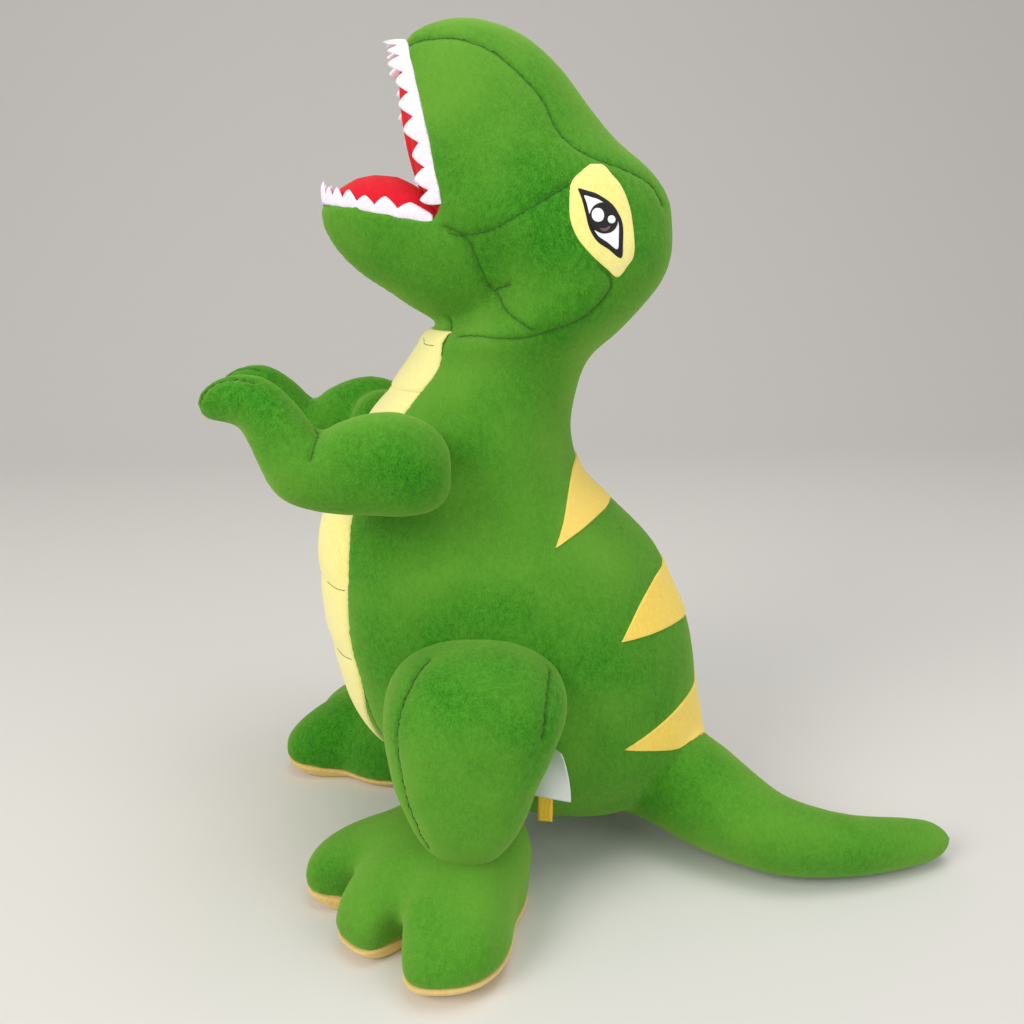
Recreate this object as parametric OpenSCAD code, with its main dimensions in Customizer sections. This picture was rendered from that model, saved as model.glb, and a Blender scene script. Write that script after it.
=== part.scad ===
// Stuffed toy dinosaur, roaring, standing on two wide three-toed feet.
// It faces -Y, its left side is +X and Z is up.  The origin is on the floor, in the middle of
// the box round the whole toy.  Every stuffed limb is a sewn plush cover over its own filling.

/* [Cloth] */

// thickness of the plush fabric with its pile, mm
plush = 2.6; // [1.6:0.2:3.4]
// air left between a cover and its filling, mm
ease = 0.2; // [0.1:0.1:0.6]
// thickness of the thin cloth patches laid on the plush, mm
patch = 1.2; // [0.8:0.2:2]

/* [Body] */

// half width of the body at its fattest, mm
belly_half = 108; // [96:1:114]
// half width of the neck, mm
neck_half = 61; // [54:1:66]
// half width of the belly strip, mm
strip_half = 62; // [44:1:70]
// how far out the sewn-on thigh stands, mm
thigh_out = 170; // [160:1:178]
// how far the right leg is placed in front of the left, mm
stride = 36; // [0:2:40]

/* [Feet] */

// thickness of the sole, mm
sole_t = 6; // [4:0.5:8]
// height of the top of the foot, mm
foot_h = 74; // [66:1:80]
// how far the toes reach past the pad, mm
toe_reach = 40; // [28:1:44]

/* [Arms] */

// x of the inner face of the left arm, mm
arm_inner = 78; // [78:1:86]
// half thickness of the arm across the body, mm
arm_half = 24; // [20:1:27]
// how far the right arm sits in front of the left, mm
arm_lead = 16; // [0:2:20]
// radius of the padded ball that roots each arm in the side of the body, mm
shoulder_ball = 27; // [24:1:28]

/* [Head] */

// half width of the cheeks, mm
cheek_half = 78; // [70:1:82]
// height of the upper teeth, mm
tooth_h = 15; // [10:1:17]
// teeth on each side of the upper jaw
upper_side = 9; // [7:1:11]
// teeth on each side of the lower jaw
lower_side = 6; // [4:1:8]

/* [Tail] */

// how far the tail is swung out to the left, mm
tail_swing = 106; // [70:2:112]
// half thickness of the tail where it leaves the body, mm
tail_root = 44; // [38:1:46]

/* [Hidden] */

green = [0.27, 0.58, 0.15];
cream = [0.98, 0.94, 0.62];
amber = [1.0, 0.86, 0.42];
tan = [0.90, 0.78, 0.48];
red = [0.82, 0.12, 0.18];
white = [0.93, 0.91, 0.94];
black = [0.06, 0.06, 0.06];
wool = [0.93, 0.93, 0.90];
in_t = plush + ease;

// Stations of the stuffed shapes: [x, y, z, half across, half along, lean, turn].
// lean 0 lays the ring flat, lean 90 stands it up facing forward, -90 facing backward.
bh = belly_half / 108;
nh = neck_half / 61;
torso_s = [
  [0, 26, 20, 16, 20, 0, 0],
  [0, 22, 24, 44, 48, 0, 0],
  [0, 10, 38, 72, 80, 0, 0],
  [0, -5, 58, 88, 108, 0, 0],
  [0, -16, 84, 101 * bh, 130, 0, 0],
  [0, -29, 113, 107 * bh, 137, 0, 0],
  [0, -36, 146, 108 * bh, 140, 0, 0],
  [0, -43, 177, 106 * bh, 140, 0, 0],
  [0, -51, 206, 101 * bh, 135, 0, 0],
  [0, -59, 236, 94 * bh, 128, 0, 0],
  [0, -72, 264, 86, 110, 0, 0],
  [0, -83, 292, 82, 90, 0, 0],
  [0, -79, 322, 77, 79, 0, 0],
  [0, -66, 352, 66 * nh, 71, 0, 0],
  [0, -50, 374, 61 * nh, 67, 0, 0]
];
// The first two rings are the hem of the head, tucked inside the top of the body.
head_s = [
  [0, -53, 370, 55 * nh, 58.5, 0, 0],
  [0, -50, 386, 55.5 * nh, 59.5, 0, 0],
  [0, -36, 393, 68, 70, 0, 0],
  [0, -13, 410, 76, 64, 0, 0],
  [0, -3, 430, cheek_half, 70, 0, 0],
  [0, -8, 450, cheek_half, 82, 0, 0],
  [0, -22, 468, 75, 96, 0, 0],
  [0, -28, 486, 70, 99, 0, 0],
  [0, -35, 504, 64, 93, 0, 0],
  [0, -48, 524, 56, 81, 0, 0],
  [0, -56, 546, 49, 69, 0, 0],
  [0, -63, 568, 41, 58, 0, 0],
  [0, -70, 586, 31, 44, 0, 0],
  [0, -72, 596, 17, 25, 0, 0],
  [0, -73, 599.5, 4, 6, 0, 0]
];
jaw_s = [
  [0, -82.4, 458, 57, 62, 90, 0],
  [0, -96, 461, 54, 60, 90, 0],
  [0, -112, 464, 50, 55, 90, 0],
  [0, -128, 467, 44, 47, 90, 0],
  [0, -144, 470, 37, 40, 90, 0],
  [0, -158, 472, 28, 30, 90, 0],
  [0, -168, 473, 18, 18, 90, 0],
  [0, -174, 474, 6, 6, 90, 0]
];
arm_s = [
  [-6, -90, 313, 8, 10, 90, 0],
  [-3, -96, 314, 18, 24, 90, 0],
  [0, -115, 317, 24, 32, 90, 0],
  [0, -140, 318, 24, 32, 88, 0],
  [0, -166, 318, 24, 30, 80, 0],
  [-1, -188, 321, 23, 27, 55, 0],
  [-2, -198, 336, 21, 23, 30, 0],
  [-4, -208, 350, 19, 22, 40, 0],
  [-6, -222, 358, 17, 19, 72, 0],
  [-8, -236, 357, 13, 14, 98, 0],
  [-9, -244, 354, 7, 8, 110, 0],
  [-9, -247, 353, 2, 2, 112, 0]
];
ts = tail_swing / 106;
tail_s = [
  [40 * ts, 80, 54, tail_root, tail_root, -90, -34],
  [62 * ts, 102, 47, tail_root - 3, 41, -90, -44],
  [86 * ts, 125, 40, 35, 35, -90, -38],
  [101 * ts, 150, 33, 30, 30, -90, -18],
  [106 * ts, 182, 27.5, 25, 26, -90, -3],
  [106 * ts, 211, 24, 22.5, 22.8, -90, 3],
  [102 * ts, 239, 21.5, 20, 20.4, -90, 8],
  [98 * ts, 265, 19.5, 16.5, 17, -90, 8],
  [96 * ts, 279, 18.5, 10, 10.5, -90, 8],
  [95 * ts, 284, 18, 3, 3, -90, 8]
];
tail_hub = [40 * ts, 80, 54];
neck_hub = [0, -50, 376];
jaw_hub = [0, -92, 468];
shoulder = [arm_inner, -118, 317];

// Catmull-Rom curve through neighbouring stations, so a short list gives a smooth shape.
function mid4(a, b, c, d, t) =
  b + 0.5 * t * (c - a + t * (2 * a - 5 * b + 4 * c - d + t * (3 * (b - c) + d - a)));
// k spans lie between one station and the next.
function smooth(s, k) = concat(
  [for (i = [0:len(s) - 2]) for (j = [0:k - 1])
    mid4(s[max(i - 1, 0)], s[i], s[i + 1], s[min(i + 2, len(s) - 1)], j / k)],
  [s[len(s) - 1]]
);

// One ring of n points round a station, grown by g.
function ring(s, n, g) = [for (i = [0:n - 1])
  let (a = 360 * i / n, u = max(s[3] + g, 0.4) * cos(a), v = max(s[4] + g, 0.4) * sin(a))
  [s[0] + u * cos(s[6]) - v * sin(s[6]) * cos(s[5]),
   s[1] + u * sin(s[6]) + v * cos(s[6]) * cos(s[5]),
   s[2] + v * sin(s[5])]];

// Triangles joining ring p to ring q of n points; flip turns them inside out.
function band(p, q, n, flip) = [for (i = [0:n - 1]) let (j = (i + 1) % n)
  each (flip ? [[p + i, p + j, q + j], [p + i, q + j, q + i]]
             : [[p + i, q + j, p + j], [p + i, q + i, q + j]])];
function lid(p, n, flip) = flip ? [for (i = [n - 1:-1:0]) p + i] : [for (i = [0:n - 1]) p + i];

// A closed stuffed solid through the stations, grown by g.
module stuffed(s, n, k, g) {
  r = smooth(s, k);
  m = len(r);
  polyhedron(
    points = [for (q = r) each ring(q, n, g)],
    faces = concat(
      [for (i = [0:m - 2]) each band(i * n, (i + 1) * n, n, false)],
      [lid(0, n, false)],
      [lid((m - 1) * n, n, true)]
    ), convexity = 6);
}

// A sewn cover over the same stations: closed at one end, open at the other.
// open_first picks the open end; the wall t lies inside the grown surface.
module cover(s, n, k, g, t, open_first = true) {
  r = smooth(s, k);
  m = len(r);
  f = open_first ? 0 : 1;
  l = open_first ? m - 2 : m - 1;
  polyhedron(
    points = concat([for (q = r) each ring(q, n, g)], [for (q = r) each ring(q, n, g - t)]),
    faces = concat(
      [for (i = [0:m - 2]) each band(i * n, (i + 1) * n, n, false)],
      [for (i = [f:l - 1]) each band((m + i) * n, (m + i + 1) * n, n, true)],
      [lid(open_first ? (m - 1) * n : 0, n, open_first)],
      [lid((m + (open_first ? l : f)) * n, n, !open_first)],
      band(open_first ? 0 : (m - 1) * n, (open_first ? m : 2 * m - 1) * n, n, open_first)
    ), convexity = 8);
}

// Booleans between stuffed shapes are worked out as one mesh.
module sewn() {
  resize([0, 0, 0]) children();
}

// A thin cloth layer t thick lying on a stuffed shape, kept only where the pattern reaches.
// The pattern is drawn flat in [Z, Y] and cuts straight across the body, lift above its surface.
module laid(s, n, k, t, x0, x1, lift = 0.1) {
  sewn() intersection() {
    difference() {
      stuffed(s, n, k, t + lift);
      stuffed(s, n, k, lift);
    }
    translate([x1, 0, 0])
      rotate([0, -90, 0])
        linear_extrude(x1 - x0)
          children();
  }
}

module mirror_x() {
  mirror([1, 0, 0]) children();
}

module as_right_leg() {
  translate([0, -stride, 0]) mirror_x() children();
}

module as_right_arm() {
  translate([0, -arm_lead, 0])
    translate(shoulder_mirror)
      rotate([6, 0, 0])
        translate(-shoulder_mirror)
          mirror_x() children();
}
shoulder_mirror = [-arm_inner, -118, 317];

// The two shoulder sockets, r round; each arm turns in its own without touching the body.
module sockets(r) {
  for (c = [shoulder - [2, 0, 0], shoulder_mirror + [2, -arm_lead, 0]])
    translate(c)
      sphere(r = r, $fn = 18);
}

// ---- body ----

module torso_shape(g) {
  stuffed(torso_s, 32, 1, g);
}

module torso_skin() {
  color(green)
    sewn() difference() {
      cover(torso_s, 32, 1, 0, plush, false);
      translate(tail_hub)
        sphere(r = tail_root + 2.4, $fn = 24);
      sockets(shoulder_ball + 1.4);
    }
}

// The filling domes over at the neck so that the head can nod on it.
torso_fill_s = concat(
  [for (i = [1:12]) torso_s[i]],
  [[0, -70, 338, 62 * nh, 62, 0, 0], [0, -62, 349, 46, 46, 0, 0], [0, -58, 355, 28, 28, 0, 0],
   [0, -58, 356.5, 8, 8, 0, 0]]
);
module torso_filling() {
  color(wool)
    sewn() difference() {
      stuffed(torso_fill_s, 32, 1, -in_t);
      translate(tail_hub)
        sphere(r = tail_root + 4, $fn = 24);
      sockets(shoulder_ball + 2);
    }
}

// Pale quilted strip down the chest and belly.
module belly_strip() {
  color(cream)
    sewn() difference() {
      laid(torso_s, 32, 1, patch, -strip_half, strip_half)
        polygon([[371, -98], [330, -128], [290, -150], [250, -162], [200, -164], [140, -150],
          [84, -120], [60, -100], [50, -130], [84, -180], [200, -210], [330, -190], [371, -130]]);
      sockets(shoulder_ball + 1.4);
    }
}

// One stripe: a curved triangle that wraps over the spine with its tips on the two flanks.
module back_stripe(top, tip, low) {
  color(amber)
    laid(torso_s, 32, 1, patch, -130, 130)
      polygon([top, tip, low, [low[0], low[1] + 60], [top[0], top[1] + 60]]);
}

module back_stripe_upper() {
  back_stripe([300, -20], [252, -28], [262, 24]);
}

module back_stripe_middle() {
  back_stripe([226, 66], [188, 24], [184, 82]);
}

// The lowest stripe stops short of the tail, which sways beside it.
module back_stripe_lower() {
  color(amber)
    sewn() difference() {
      back_stripe([122, 92], [100, 36], [76, 96]);
      translate(tail_hub)
        sphere(r = tail_root + 4, $fn = 24);
      stuffed([for (i = [0:5]) tail_s[i]], 20, 1, 5);
    }
}

// ---- legs ----

// Teardrop outline of the thigh at x, scaled by k.
thigh_n = 28;
thigh_x = [
  [84, 0.90], [104, 0.99], [124, 1.0], [142, 0.94], [155, 0.82], [164, 0.62], [169, 0.36], [170, 0.1]
];
function thigh_ring(x, k, g) = [for (i = [0:thigh_n - 1])
  let (a = 360 * i / thigh_n, w = (55 * k + g), h = (68 * k + g))
  [x, -84 + 10 * k * sin(a) + w * cos(a) * (1 + 0.2 * sin(a)), 134 + h * sin(a)]];

module thigh_shape(g) {
  m = len(thigh_x);
  out = thigh_out - 170;
  polyhedron(
    points = [for (q = thigh_x) each thigh_ring(q[0] + out * (q[0] - 84) / 86
      + (q[1] < 0.2 ? g : 0), q[1], g)],
    faces = concat(
      [for (i = [0:m - 2]) each band(i * thigh_n, (i + 1) * thigh_n, thigh_n, false)],
      [lid(0, thigh_n, false)],
      [lid((m - 1) * thigh_n, thigh_n, true)]
    ), convexity = 6);
}

module thigh_skin() {
  color(green)
    sewn() difference() {
      thigh_shape(0);
      intersection() {
        thigh_shape(-plush);
        translate([0, -300, 0]) cube([thigh_out - plush, 600, 400]);
      }
      translate([-20, -300, 0]) cube([105, 600, 400]);
      torso_shape(0.1);
    }
}

module thigh_filling() {
  color(wool)
    sewn() difference() {
      intersection() {
        thigh_shape(-in_t);
        translate([0, -300, 0]) cube([thigh_out - in_t, 600, 400]);
      }
      torso_shape(0.1);
    }
}

module left_thigh_skin() {
  thigh_skin();
}

module left_thigh_filling() {
  thigh_filling();
}

module right_thigh_skin() {
  as_right_leg() thigh_skin();
}

module right_thigh_filling() {
  as_right_leg() thigh_filling();
}

// Outline of the foot seen from above: a round pad with three toes fanned outwards.
// a is the direction from straight ahead, positive outwards.
foot_n = 40;
function lobe(a, at, w) = exp(-pow(abs(a - at) / w, 3));
function foot_r(a) = 61 + toe_reach * (lobe(a, -13, 25) + 0.7 * lobe(a, 37, 19) + 1.08 * lobe(a, 83, 21))
  - 5 * lobe(abs(a), 180, 50);
function foot_ring(cx, cy, z, k, g, soft = 0) = [for (i = [0:foot_n - 1])
  let (a = 360 * i / foot_n - 180, r = max(((1 - soft) * foot_r(a) + soft * 74) * k + g, 1))
  [cx + r * sin(a), cy - r * cos(a), z]];
foot_c = [104, -97];
foot_z = [
  [104, -97, 0.0, 0.98, 0], [104, -97, 0.16, 1.0, 0], [104, -97, 0.38, 0.96, 0.1],
  [106, -96, 0.56, 0.86, 0.35], [109, -95, 0.72, 0.70, 0.6], [113, -93, 0.86, 0.54, 0.8],
  [116, -91, 0.96, 0.38, 1], [117, -90, 1.0, 0.2, 1]
];

// Upper of the foot above the sole, grown by g at the sides and the top.
module foot_shape(g, low) {
  m = len(foot_z);
  polyhedron(
    points = [for (q = foot_z) each foot_ring(q[0], q[1], low + (foot_h + g - low) * q[2], q[3], g, q[4])],
    faces = concat(
      [for (i = [0:m - 2]) each band(i * foot_n, (i + 1) * foot_n, foot_n, false)],
      [lid(0, foot_n, false)],
      [lid((m - 1) * foot_n, foot_n, true)]
    ), convexity = 8);
}

module foot_skin() {
  color(green)
    sewn() difference() {
      foot_shape(0, sole_t + 0.1);
      foot_shape(-plush, sole_t);
      thigh_shape(0.1);
    }
}

module foot_filling() {
  color(wool)
    sewn() difference() {
      foot_shape(-in_t, sole_t + 0.1);
      thigh_shape(0.1);
    }
}

module sole() {
  color(tan)
    linear_extrude(sole_t)
      polygon([for (p = foot_ring(foot_c[0], foot_c[1], 0, 0.98, 0)) [p[0], p[1]]]);
}

module left_foot_skin() {
  foot_skin();
}

module left_foot_filling() {
  foot_filling();
}

module left_sole() {
  sole();
}

module right_foot_skin() {
  as_right_leg() foot_skin();
}

module right_foot_filling() {
  as_right_leg() foot_filling();
}

module right_sole() {
  as_right_leg() sole();
}

// ---- small sewn parts ----

// Hand-sewn thread that shuts the stuffing hole on the back seam.
module closing_seam() {
  color(green * 0.6)
    for (i = [0:7])
      translate([0, 108.6 - 0.02 * i * i, 122 + 6 * i])
        rotate([i % 2 == 0 ? 10 : -6, 62, 0])
          cylinder(d = 0.9, h = 9, center = true, $fn = 16);
}

// Satin care label hanging from the seam behind the thigh, curling outwards.
label_w = 26;
module care_label() {
  color(white)
    translate([114, -21, 112])
      rotate([0, 0, 62])
        rotate([90, 0, 90])
          linear_extrude(label_w, center = true)
            polygon(concat(
              [for (i = [0:10]) [-0.5 - 8 * pow(i / 10, 2), -4 * i]],
              [for (i = [10:-1:0]) [-1.1 - 8 * pow(i / 10, 2), -4 * i]]));
}

// Yellow ribbon folded into a loop below the label.
module ribbon_loop() {
  color(amber)
    translate([104, -27, 60])
      rotate([0, 0, 62])
        rotate([90, 0, 90])
          linear_extrude(9, center = true)
            difference() {
              polygon([[0, 12], [4, 10], [6, 0], [4, -12], [1, -14], [-1, -8], [-1, 6]]);
              polygon([[0.8, 10.5], [3.2, 9], [5, 0], [3.4, -11], [1.4, -12.4], [0.1, -7], [0.1, 6]]);
            }
}

// ---- head ----

// The upper lip lies in a plane that leans forward from the corner of the mouth.
function lip_y(z) = -92 - (z - 468) * 0.187;

// Everything in front of the lip plane, and the room for the lower jaw, is cut from the head.
module mouth_side(off) {
  translate([-90, -92 + off, 468])
    rotate([10.6, 0, 0])
      translate([0, -200, -2]) cube([180, 200, 220]);
  translate([-90, -300, 395])
    cube([180, 300 - 82 + off, 79]);
}

module head_skin() {
  color(green)
    sewn() difference() {
      cover(head_s, 32, 1, 0, plush, true);
      mouth_side(0);
    }
}

head_fill_s = concat(
  [[0, -50, 381.5, 8, 8, 0, 0], [0, -48, 383.5, 28, 32, 0, 0], [0, -38, 393, 52, 54, 0, 0],
   [0, -14, 412, 72, 61, 0, 0]],
  [for (i = [4:13]) head_s[i]]
);
module head_filling() {
  color(wool)
    sewn() difference() {
      stuffed(head_fill_s, 32, 1, -in_t);
      mouth_side(0.3);
    }
}

// Lighter band of plush down the back of the head.
module nape_band() {
  color(green * 1.25)
    laid(head_s, 32, 1, patch, -16, 16)
      polygon([[380, 4], [404, 30], [430, 54], [470, 60], [496, 46], [508, 38], [520, 70],
        [470, 120], [380, 100]]);
}

// Front of the throat, the part of the pale strip that moves with the head.
module throat_strip() {
  color(cream)
    laid(head_s, 32, 1, patch, -46, 46)
      polygon([[379, -94], [388, -86], [394, -80], [394.5, -140], [379, -140]]);
}

// Red lining of the upper jaw: a soft pad filling the arch inside the lips.
function arch_x(z) = 50 * pow(max(0, 1 - pow((z - 474) / 112, 1.6)), 0.6);
module mouth_roof() {
  color(red)
    hull() {
      for (z = [480:15:570])
        for (side = [-1, 1])
          translate([side * max(arch_x(z) - 7, 1), lip_y(z) - 3.2, z])
            sphere(r = 2.8, $fn = 12);
      for (z = [501:15:561])
        for (side = [-1, 1])
          translate([side * 14, lip_y(z) - 9, z])
            sphere(r = 3, $fn = 12);
    }
}

// A felt strip cut into teeth.  It follows a lip curve given point by point, root then tip.
module tooth_strip(root, tip, t) {
  m = len(root);
  d = [for (i = [0:m - 1])
    let (a = root[max(i - 1, 0)], b = root[min(i + 1, m - 1)], c = cross(b - a, tip[i] - root[i]))
    c / max(norm(c), 0.001) * t / 2];
  polyhedron(
    points = [for (i = [0:m - 1]) each [root[i] - d[i], root[i] + d[i], tip[i] + d[i] * 0.7, tip[i] - d[i] * 0.7]],
    faces = concat(
      [for (i = [0:m - 2]) for (j = [0:3]) let (k = (j + 1) % 4)
        each [[4 * i + j, 4 * i + 4 + k, 4 * i + k], [4 * i + j, 4 * i + 4 + j, 4 * i + 4 + k]]],
      [[0, 1, 2, 3]],
      [[4 * m - 1, 4 * m - 2, 4 * m - 3, 4 * m - 4]]
    ), convexity = 10);
}

// Saw-tooth profile with rounded points: 0 at a notch and 1 at a tip.
function tooth(u) = 0.18 + 0.82 * pow(sin(180 * (u - floor(u))), 0.8);

upper_n = 2 * upper_side;
steps_u = upper_n * 4;
// u runs 0..1 from the left corner of the mouth, over the front, to the right corner.
function upper_lip(u) = let (a = 180 * u, c = cos(a), s = sin(a))
  let (z = 479 + 107 * pow(s, 1.5)) [51 * sign(c) * pow(abs(c), 0.8), lip_y(z) - 1.2, z];
module upper_teeth() {
  color(white)
    tooth_strip(
      [for (i = [0:steps_u]) upper_lip(0.015 + 0.97 * i / steps_u)],
      [for (i = [0:steps_u]) let (u = 0.015 + 0.97 * i / steps_u, p = upper_lip(u),
        h = tooth_h * tooth(i / 4) * (0.72 + 0.28 * sin(180 * u)))
        [p[0] * (1 - 0.001 * h), p[1] - h, p[2] - 0.12 * h]],
      2);
}

// Eye patch, eye and iris are flat patches sewn on the side of the head.
eye_outline = [[488, -6], [485, 4], [476, 13], [463, 19], [446, 23], [450, 11], [459, 1], [472, -4]];
module eye_patch() {
  color(cream)
    laid(head_s, 32, 1, patch, 20, 90)
      polygon([[503, 4], [500, 12], [488, 26], [472, 34], [452, 36], [436, 24], [444, 8], [452, -4],
        [462, -12], [474, -16], [490, -14], [498, -8]]);
}

module eye_white() {
  color(white)
    laid(head_s, 32, 1, 0.8, 20, 90, patch + 0.2)
      polygon(eye_outline);
}

module iris() {
  color(black)
    laid(head_s, 32, 1, 0.8, 20, 90, patch + 1.1)
      translate([467, 9])
        circle(r = 9, $fn = 28);
}

module left_eye_patch() {
  eye_patch();
}

module left_eye() {
  eye_white();
}

module left_iris() {
  iris();
}

module right_eye_patch() {
  mirror_x() eye_patch();
}

module right_eye() {
  mirror_x() eye_white();
}

module right_iris() {
  mirror_x() iris();
}

// ---- lower jaw ----

// The lower lip lies in a plane that rises towards the front.
function jaw_top(y) = 468 - (y + 92) * 0.196;

module above_jaw(off) {
  translate([-80, -200, jaw_top(-200) + off])
    rotate([-11.1, 0, 0])
      cube([160, 130, 60]);
}

module jaw_skin() {
  color(green)
    sewn() difference() {
      cover(jaw_s, 28, 1, 0, plush, true);
      above_jaw(0);
    }
}

module jaw_filling() {
  color(wool)
    sewn() difference() {
      stuffed([for (i = [0:6]) jaw_s[i]], 28, 1, -in_t);
      above_jaw(-0.2);
      translate([-80, -82.7, 380]) cube([160, 60, 120]);
    }
}

// Red lining and tongue: a soft pad on top of the lower jaw.
module mouth_floor() {
  color(red)
    hull() {
      for (y = [-160:8:-120])
        for (side = [-1, 1])
          translate([side * (46 * sqrt(max(0, 1 - pow((y + 92) / 78, 2))) - 8), y, jaw_top(y) + 4.2])
            sphere(r = 4, $fn = 12);
      for (y = [-154:10:-124])
        for (side = [-1, 1])
          translate([side * 11, y, jaw_top(y) + 10])
            sphere(r = 4, $fn = 12);
    }
}

lower_n = 2 * lower_side + 1;
steps_l = lower_n * 4;
function lower_lip(u) = let (a = 180 * u, c = cos(a), s = sin(a))
  [46 * sign(c) * pow(abs(c), 0.8), -98 - 72 * pow(s, 0.85), 472 + 13 * s];
module lower_teeth() {
  color(white)
    tooth_strip(
      [for (i = [0:steps_l]) lower_lip(0.07 + 0.86 * i / steps_l)],
      [for (i = [0:steps_l]) let (u = 0.07 + 0.86 * i / steps_l, p = lower_lip(u),
        h = 11 * tooth(i / 4) * (0.75 + 0.45 * pow(sin(180 * u), 6)))
        [p[0] * (1 - 0.005 * h), p[1] - 0.1 * h, p[2] + h]],
      2);
}

// ---- arms ----

module arm_at(s) {
  translate([arm_inner + arm_half + 0.4, 0, 0])
    scale([arm_half / 24, 1, 1])
      children();
}

// The ball at the root of the arm, centred on the axis the arm swings about.
module arm_root(g) {
  translate(shoulder - [2, 0, 0])
    sphere(r = shoulder_ball + g, $fn = 18);
}

// A closed sleeve; the opening it was turned and stuffed through faces the body.
module arm_skin() {
  color(green)
    sewn() difference() {
      union() {
        arm_at() stuffed(arm_s, 18, 1, 0);
        arm_root(0);
      }
      arm_at() stuffed([for (i = [1:10]) arm_s[i]], 18, 1, -plush);
      arm_root(-plush);
      translate([arm_inner - 2 - shoulder_ball - 20, -218, 217])
        cube([26, 200, 200]);
    }
}

module arm_filling() {
  color(wool)
    sewn() union() {
      arm_at() stuffed([for (i = [1:10]) arm_s[i]], 18, 1, -in_t);
      arm_root(-in_t);
    }
}

module left_arm_skin() {
  arm_skin();
}

module left_arm_filling() {
  arm_filling();
}

module right_arm_skin() {
  as_right_arm() arm_skin();
}

module right_arm_filling() {
  as_right_arm() arm_filling();
}

// ---- tail ----

module tail_skin() {
  color(green)
    cover(tail_s, 20, 1, 0, plush, true);
}

// The root of the filling is a ball, so the tail turns in its socket without touching the body.
module tail_filling() {
  color(wool)
    sewn() union() {
      stuffed([for (i = [0:8]) tail_s[i]], 20, 1, -in_t);
      translate(tail_hub)
        sphere(r = tail_root - in_t - 3.4, $fn = 24);
    }
}

// The patterns are drawn from a point on the sole line; the finished toy is moved so that
// the origin sits under the middle of its box.
module placed() {
  translate([0, -8.7, 0]) children();
}

placed() torso_skin();
placed() torso_filling();
placed() belly_strip();
placed() back_stripe_upper();
placed() back_stripe_middle();
placed() back_stripe_lower();
placed() left_thigh_skin();
placed() left_thigh_filling();
placed() right_thigh_skin();
placed() right_thigh_filling();
placed() left_foot_skin();
placed() left_foot_filling();
placed() left_sole();
placed() right_foot_skin();
placed() right_foot_filling();
placed() right_sole();
placed() closing_seam();
placed() care_label();
placed() ribbon_loop();
placed() head_skin();
placed() head_filling();
placed() nape_band();
placed() throat_strip();
placed() mouth_roof();
placed() upper_teeth();
placed() left_eye_patch();
placed() left_eye();
placed() left_iris();
placed() right_eye_patch();
placed() right_eye();
placed() right_iris();
placed() jaw_skin();
placed() jaw_filling();
placed() mouth_floor();
placed() lower_teeth();
placed() left_arm_skin();
placed() left_arm_filling();
placed() right_arm_skin();
placed() right_arm_filling();
placed() tail_skin();
placed() tail_filling();
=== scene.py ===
# %% [markdown]
# # A stuffed dinosaur, roaring
#
# The toy is a soft plush dinosaur about sixty centimetres tall.  Flat pieces of plush are sewn
# into bags, the bags are filled with fibre, and the bags are sewn to one another.  Each step
# below makes one of those bags, or one of the small patches, teeth and labels sewn to them.
#
# The first step loads the plain solid parts, which say how large every piece is and how it
# moves.  The plain parts are never changed here: the soft shapes are made over them.

# %% Load the plain parts
import math

import bpy
import numpy as np
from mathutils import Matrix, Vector


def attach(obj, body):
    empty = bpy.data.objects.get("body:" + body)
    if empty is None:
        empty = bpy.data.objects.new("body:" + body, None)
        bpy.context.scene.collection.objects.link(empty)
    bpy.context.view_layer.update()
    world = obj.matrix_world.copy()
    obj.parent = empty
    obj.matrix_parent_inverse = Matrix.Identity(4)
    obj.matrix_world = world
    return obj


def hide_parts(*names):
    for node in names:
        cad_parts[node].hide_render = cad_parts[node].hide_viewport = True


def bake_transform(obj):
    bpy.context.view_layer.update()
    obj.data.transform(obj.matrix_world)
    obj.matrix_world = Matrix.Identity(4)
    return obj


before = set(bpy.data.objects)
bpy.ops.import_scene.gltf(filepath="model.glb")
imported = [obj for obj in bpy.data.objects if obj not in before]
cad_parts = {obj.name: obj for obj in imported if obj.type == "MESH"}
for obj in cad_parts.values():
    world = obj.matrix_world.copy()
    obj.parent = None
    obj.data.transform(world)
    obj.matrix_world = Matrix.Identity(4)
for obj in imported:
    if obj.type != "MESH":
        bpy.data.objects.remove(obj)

bpy.context.view_layer.update()

# %% [markdown]
# ## Small helpers
#
# All listed points are in millimetres, measured the way a pattern cutter would: Y forwards is negative, X
# is the toy's left, Z is the height above the table.  `place` turns them into metres and moves them to the
# shared origin, which is under the middle of the whole toy.
#
# `rope` draws a smooth curve through a few points.  Between points b and c, with neighbours a
# and d, it is the Catmull-Rom curve
# b + f/2 (c - a + f (2a - 5b + 4c - d + f (3(b - c) + d - a))), where f runs from 0 to 1.
# It passes through every point, so a handful of points is enough for a whole limb.

# %% Curves, grids and meshes
def place(mm):
    """Pattern millimetres to metres in the shared frame."""
    return (np.asarray(mm, float) + (0.0, -8.7, 0.0)) / 1000.0


def rope(points, count):
    """A smooth curve of count points through given points (any number of columns)."""
    p = np.asarray(points, float)
    t = np.linspace(0, len(p) - 1, count)
    i = np.minimum(t.astype(int), len(p) - 2)
    f = (t - i)[:, None]
    a, b, c, d = p[np.maximum(i - 1, 0)], p[i], p[i + 1], p[np.minimum(i + 2, len(p) - 1)]
    return b + 0.5 * f * (c - a + f * (2 * a - 5 * b + 4 * c - d + f * (3 * (b - c) + d - a)))


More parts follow.
